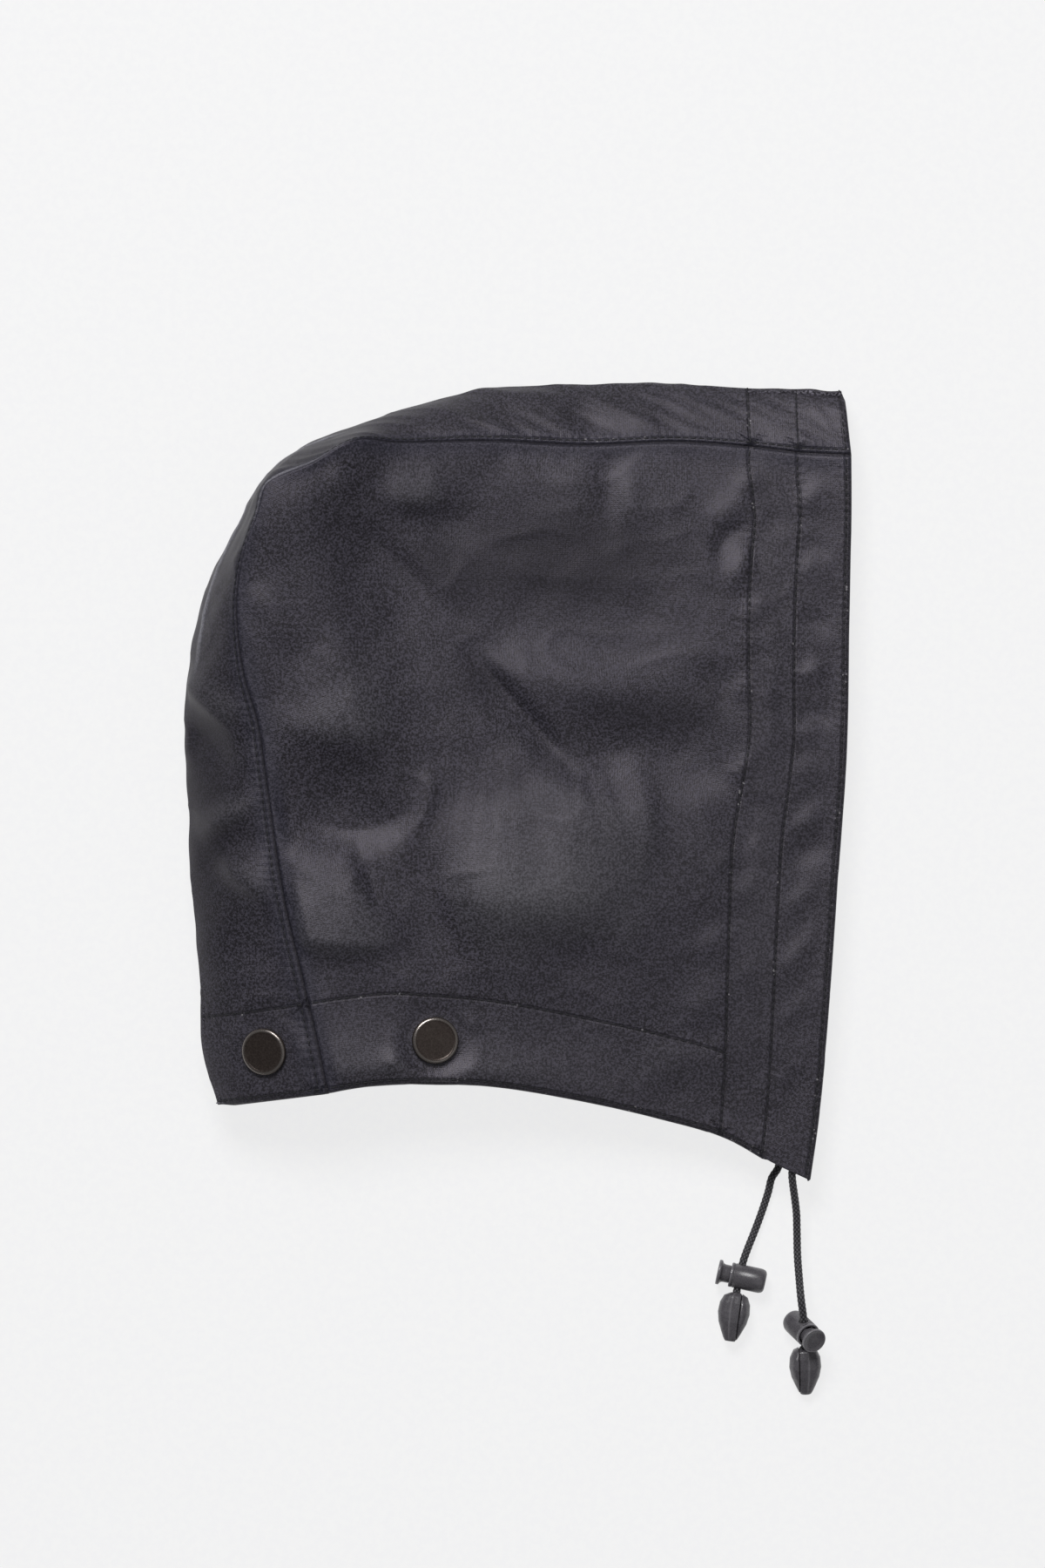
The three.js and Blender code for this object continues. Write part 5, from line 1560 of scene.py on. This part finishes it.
def half_pod(name, side):
    """The shell, at side -1, or the clip, at side 1, with the socket for the cord."""
    piece = pod_form(name)
    plane = (CLIP_PLANE + side * PARTING / 2) * MM
    in_edit_mode(piece, lambda: bpy.ops.mesh.bisect(plane_co=(plane, 0, 0), plane_no=(1, 0, 0), use_fill=True,
                                                    clear_inner=side > 0, clear_outer=side < 0))
    faces_outwards(piece)
    if side < 0:  # a lip on the shell closes the parting line, so that it is dark and no light comes through
        in_edit_mode(piece, lambda: bpy.ops.mesh.inset(thickness=LIP_INSET * MM),
                     lambda: bpy.ops.transform.translate(value=((PARTING - LIP_GAP) * MM, 0, 0)),
                     wanted=lambda face: face.normal.x > 0.99 and abs(face.center.x - plane) < SAME_POINT)
    nothing_selected()
    bpy.ops.mesh.primitive_cylinder_add(vertices=32, radius=CORD_HOLE * MM, depth=2 * POD_SOCKET * MM)
    cut_away(piece, bpy.context.object)
    finished(piece, plastic, 35)
    mark_painted_highlight(piece, ridge_highlight)
    return piece


pods = {"shell": half_pod("one_shell", -1), "clip": half_pod("one_clip", 1)}
end_pieces = {}
for side, facts in CORD_ENDS.items():
    last = Vector(facts["after_lock"]) * MM
    before = locks[side] @ Vector((LOCK_REACH, 0, 0))
    back = (before - last).normalized()
    stand = frame_at(last + back * (POD_SOCKET * MM - CORD_CLEARANCE), back, facts["clip"])
    for part, pod in pods.items():
        piece = copied(pod, f"{side}_end_{part}_fine")
        place_piece(piece, stand)
        for vertex in piece.data.vertices:  # what touches the surface is flat there
            vertex.co.z = max(vertex.co.z, ABOVE_SURFACE)
        end_pieces[side, part] = belongs(piece, "hood", "black_plastic", f"{side}_cord_end_{part}")
for pod in pods.values():
    bpy.data.objects.remove(pod)
print("cord ends:", [piece.name for piece in end_pieces.values()])

# %% [markdown]
# ## What moves and what is replaced
# Every piece is told what it moves with. Only the two buttons move by themselves. The measured solids that the
# finished pieces stand for are hidden, and the length of each cord end is printed.

# %% Riding and replacing
for piece, node in ((right_panel, "right_panel"), (left_panel, "left_panel"), (strip, "centre_panel"),
                    (casing, "front_casing"), (facing, "neck_facing")):
    belongs(piece, "hood", "waxed_cotton", node)
for piece in stitches:
    belongs(piece, "hood", "waxed_cotton")


for side, piece in cord_pieces.items():
    belongs(piece, "hood", "cord", side + "_cord")
    path = cords[side]
    print(side, "cord end", round(lengths(path)[-1], 4), "m")

# %% [markdown]
# ## Surface and light
# The hood lies on a seamless pale surface. The light is as soft as in a photographer's tent: a large lamp high on
# the upper left, which draws out the folds, a weaker one opposite, and pale surroundings. The surface glows a
# little, as the lit paper of such a picture does, so shadows stay faint.

# %% Surface
nothing_selected()
bpy.ops.mesh.primitive_plane_add(size=14, location=(0, 0, -0.0004))
bpy.ops.object.transform_apply(location=True, rotation=False, scale=False)
surface = bpy.context.object
surface.name = "pale_surface"
paper, tree, sockets, place = material("pale paper", Roughness=0.9, Specular_IOR_Level=0.1,
                                       Emission_Strength=0.80)
fine = put(tree, grain, Place=place, Size=3.0)
tree.links.new(mixed(tree, fine["Tone"], (0.118, 0.118, 0.119), (0.126, 0.126, 0.127)), sockets["Base Color"])
tree.links.new(mixed(tree, fine["Tone"], (0.99, 0.99, 1.0), (1.0, 1.0, 1.0)), sockets["Emission Color"])
surface.data.materials.append(paper)


# %% Lamps
def lamp(name, place, size, power):
    """A round soft lamp that shines at the middle of the hood."""
    made = bpy.data.objects.new(name, bpy.data.lights.new(name, "AREA"))
    bpy.context.collection.objects.link(made)
    made.data.shape, made.data.size, made.data.energy = "DISK", size, power
    made.location = place
    made.rotation_euler = (-Vector(place)).to_track_quat("-Z", "Y").to_euler()
    print(name, power, "W")


lamp("key_lamp", (-0.35, 1.2, 1.9), 1.0, 41)
lamp("fill_lamp", (1.4, -0.9, 2.4), 2.5, 5)
world = bpy.data.worlds.new("surroundings")
bpy.context.scene.world = world
world.use_nodes = True
world.node_tree.nodes["Background"].inputs["Color"].default_value = (0.97, 0.98, 1.0, 1)
world.node_tree.nodes["Background"].inputs["Strength"].default_value = 0.17
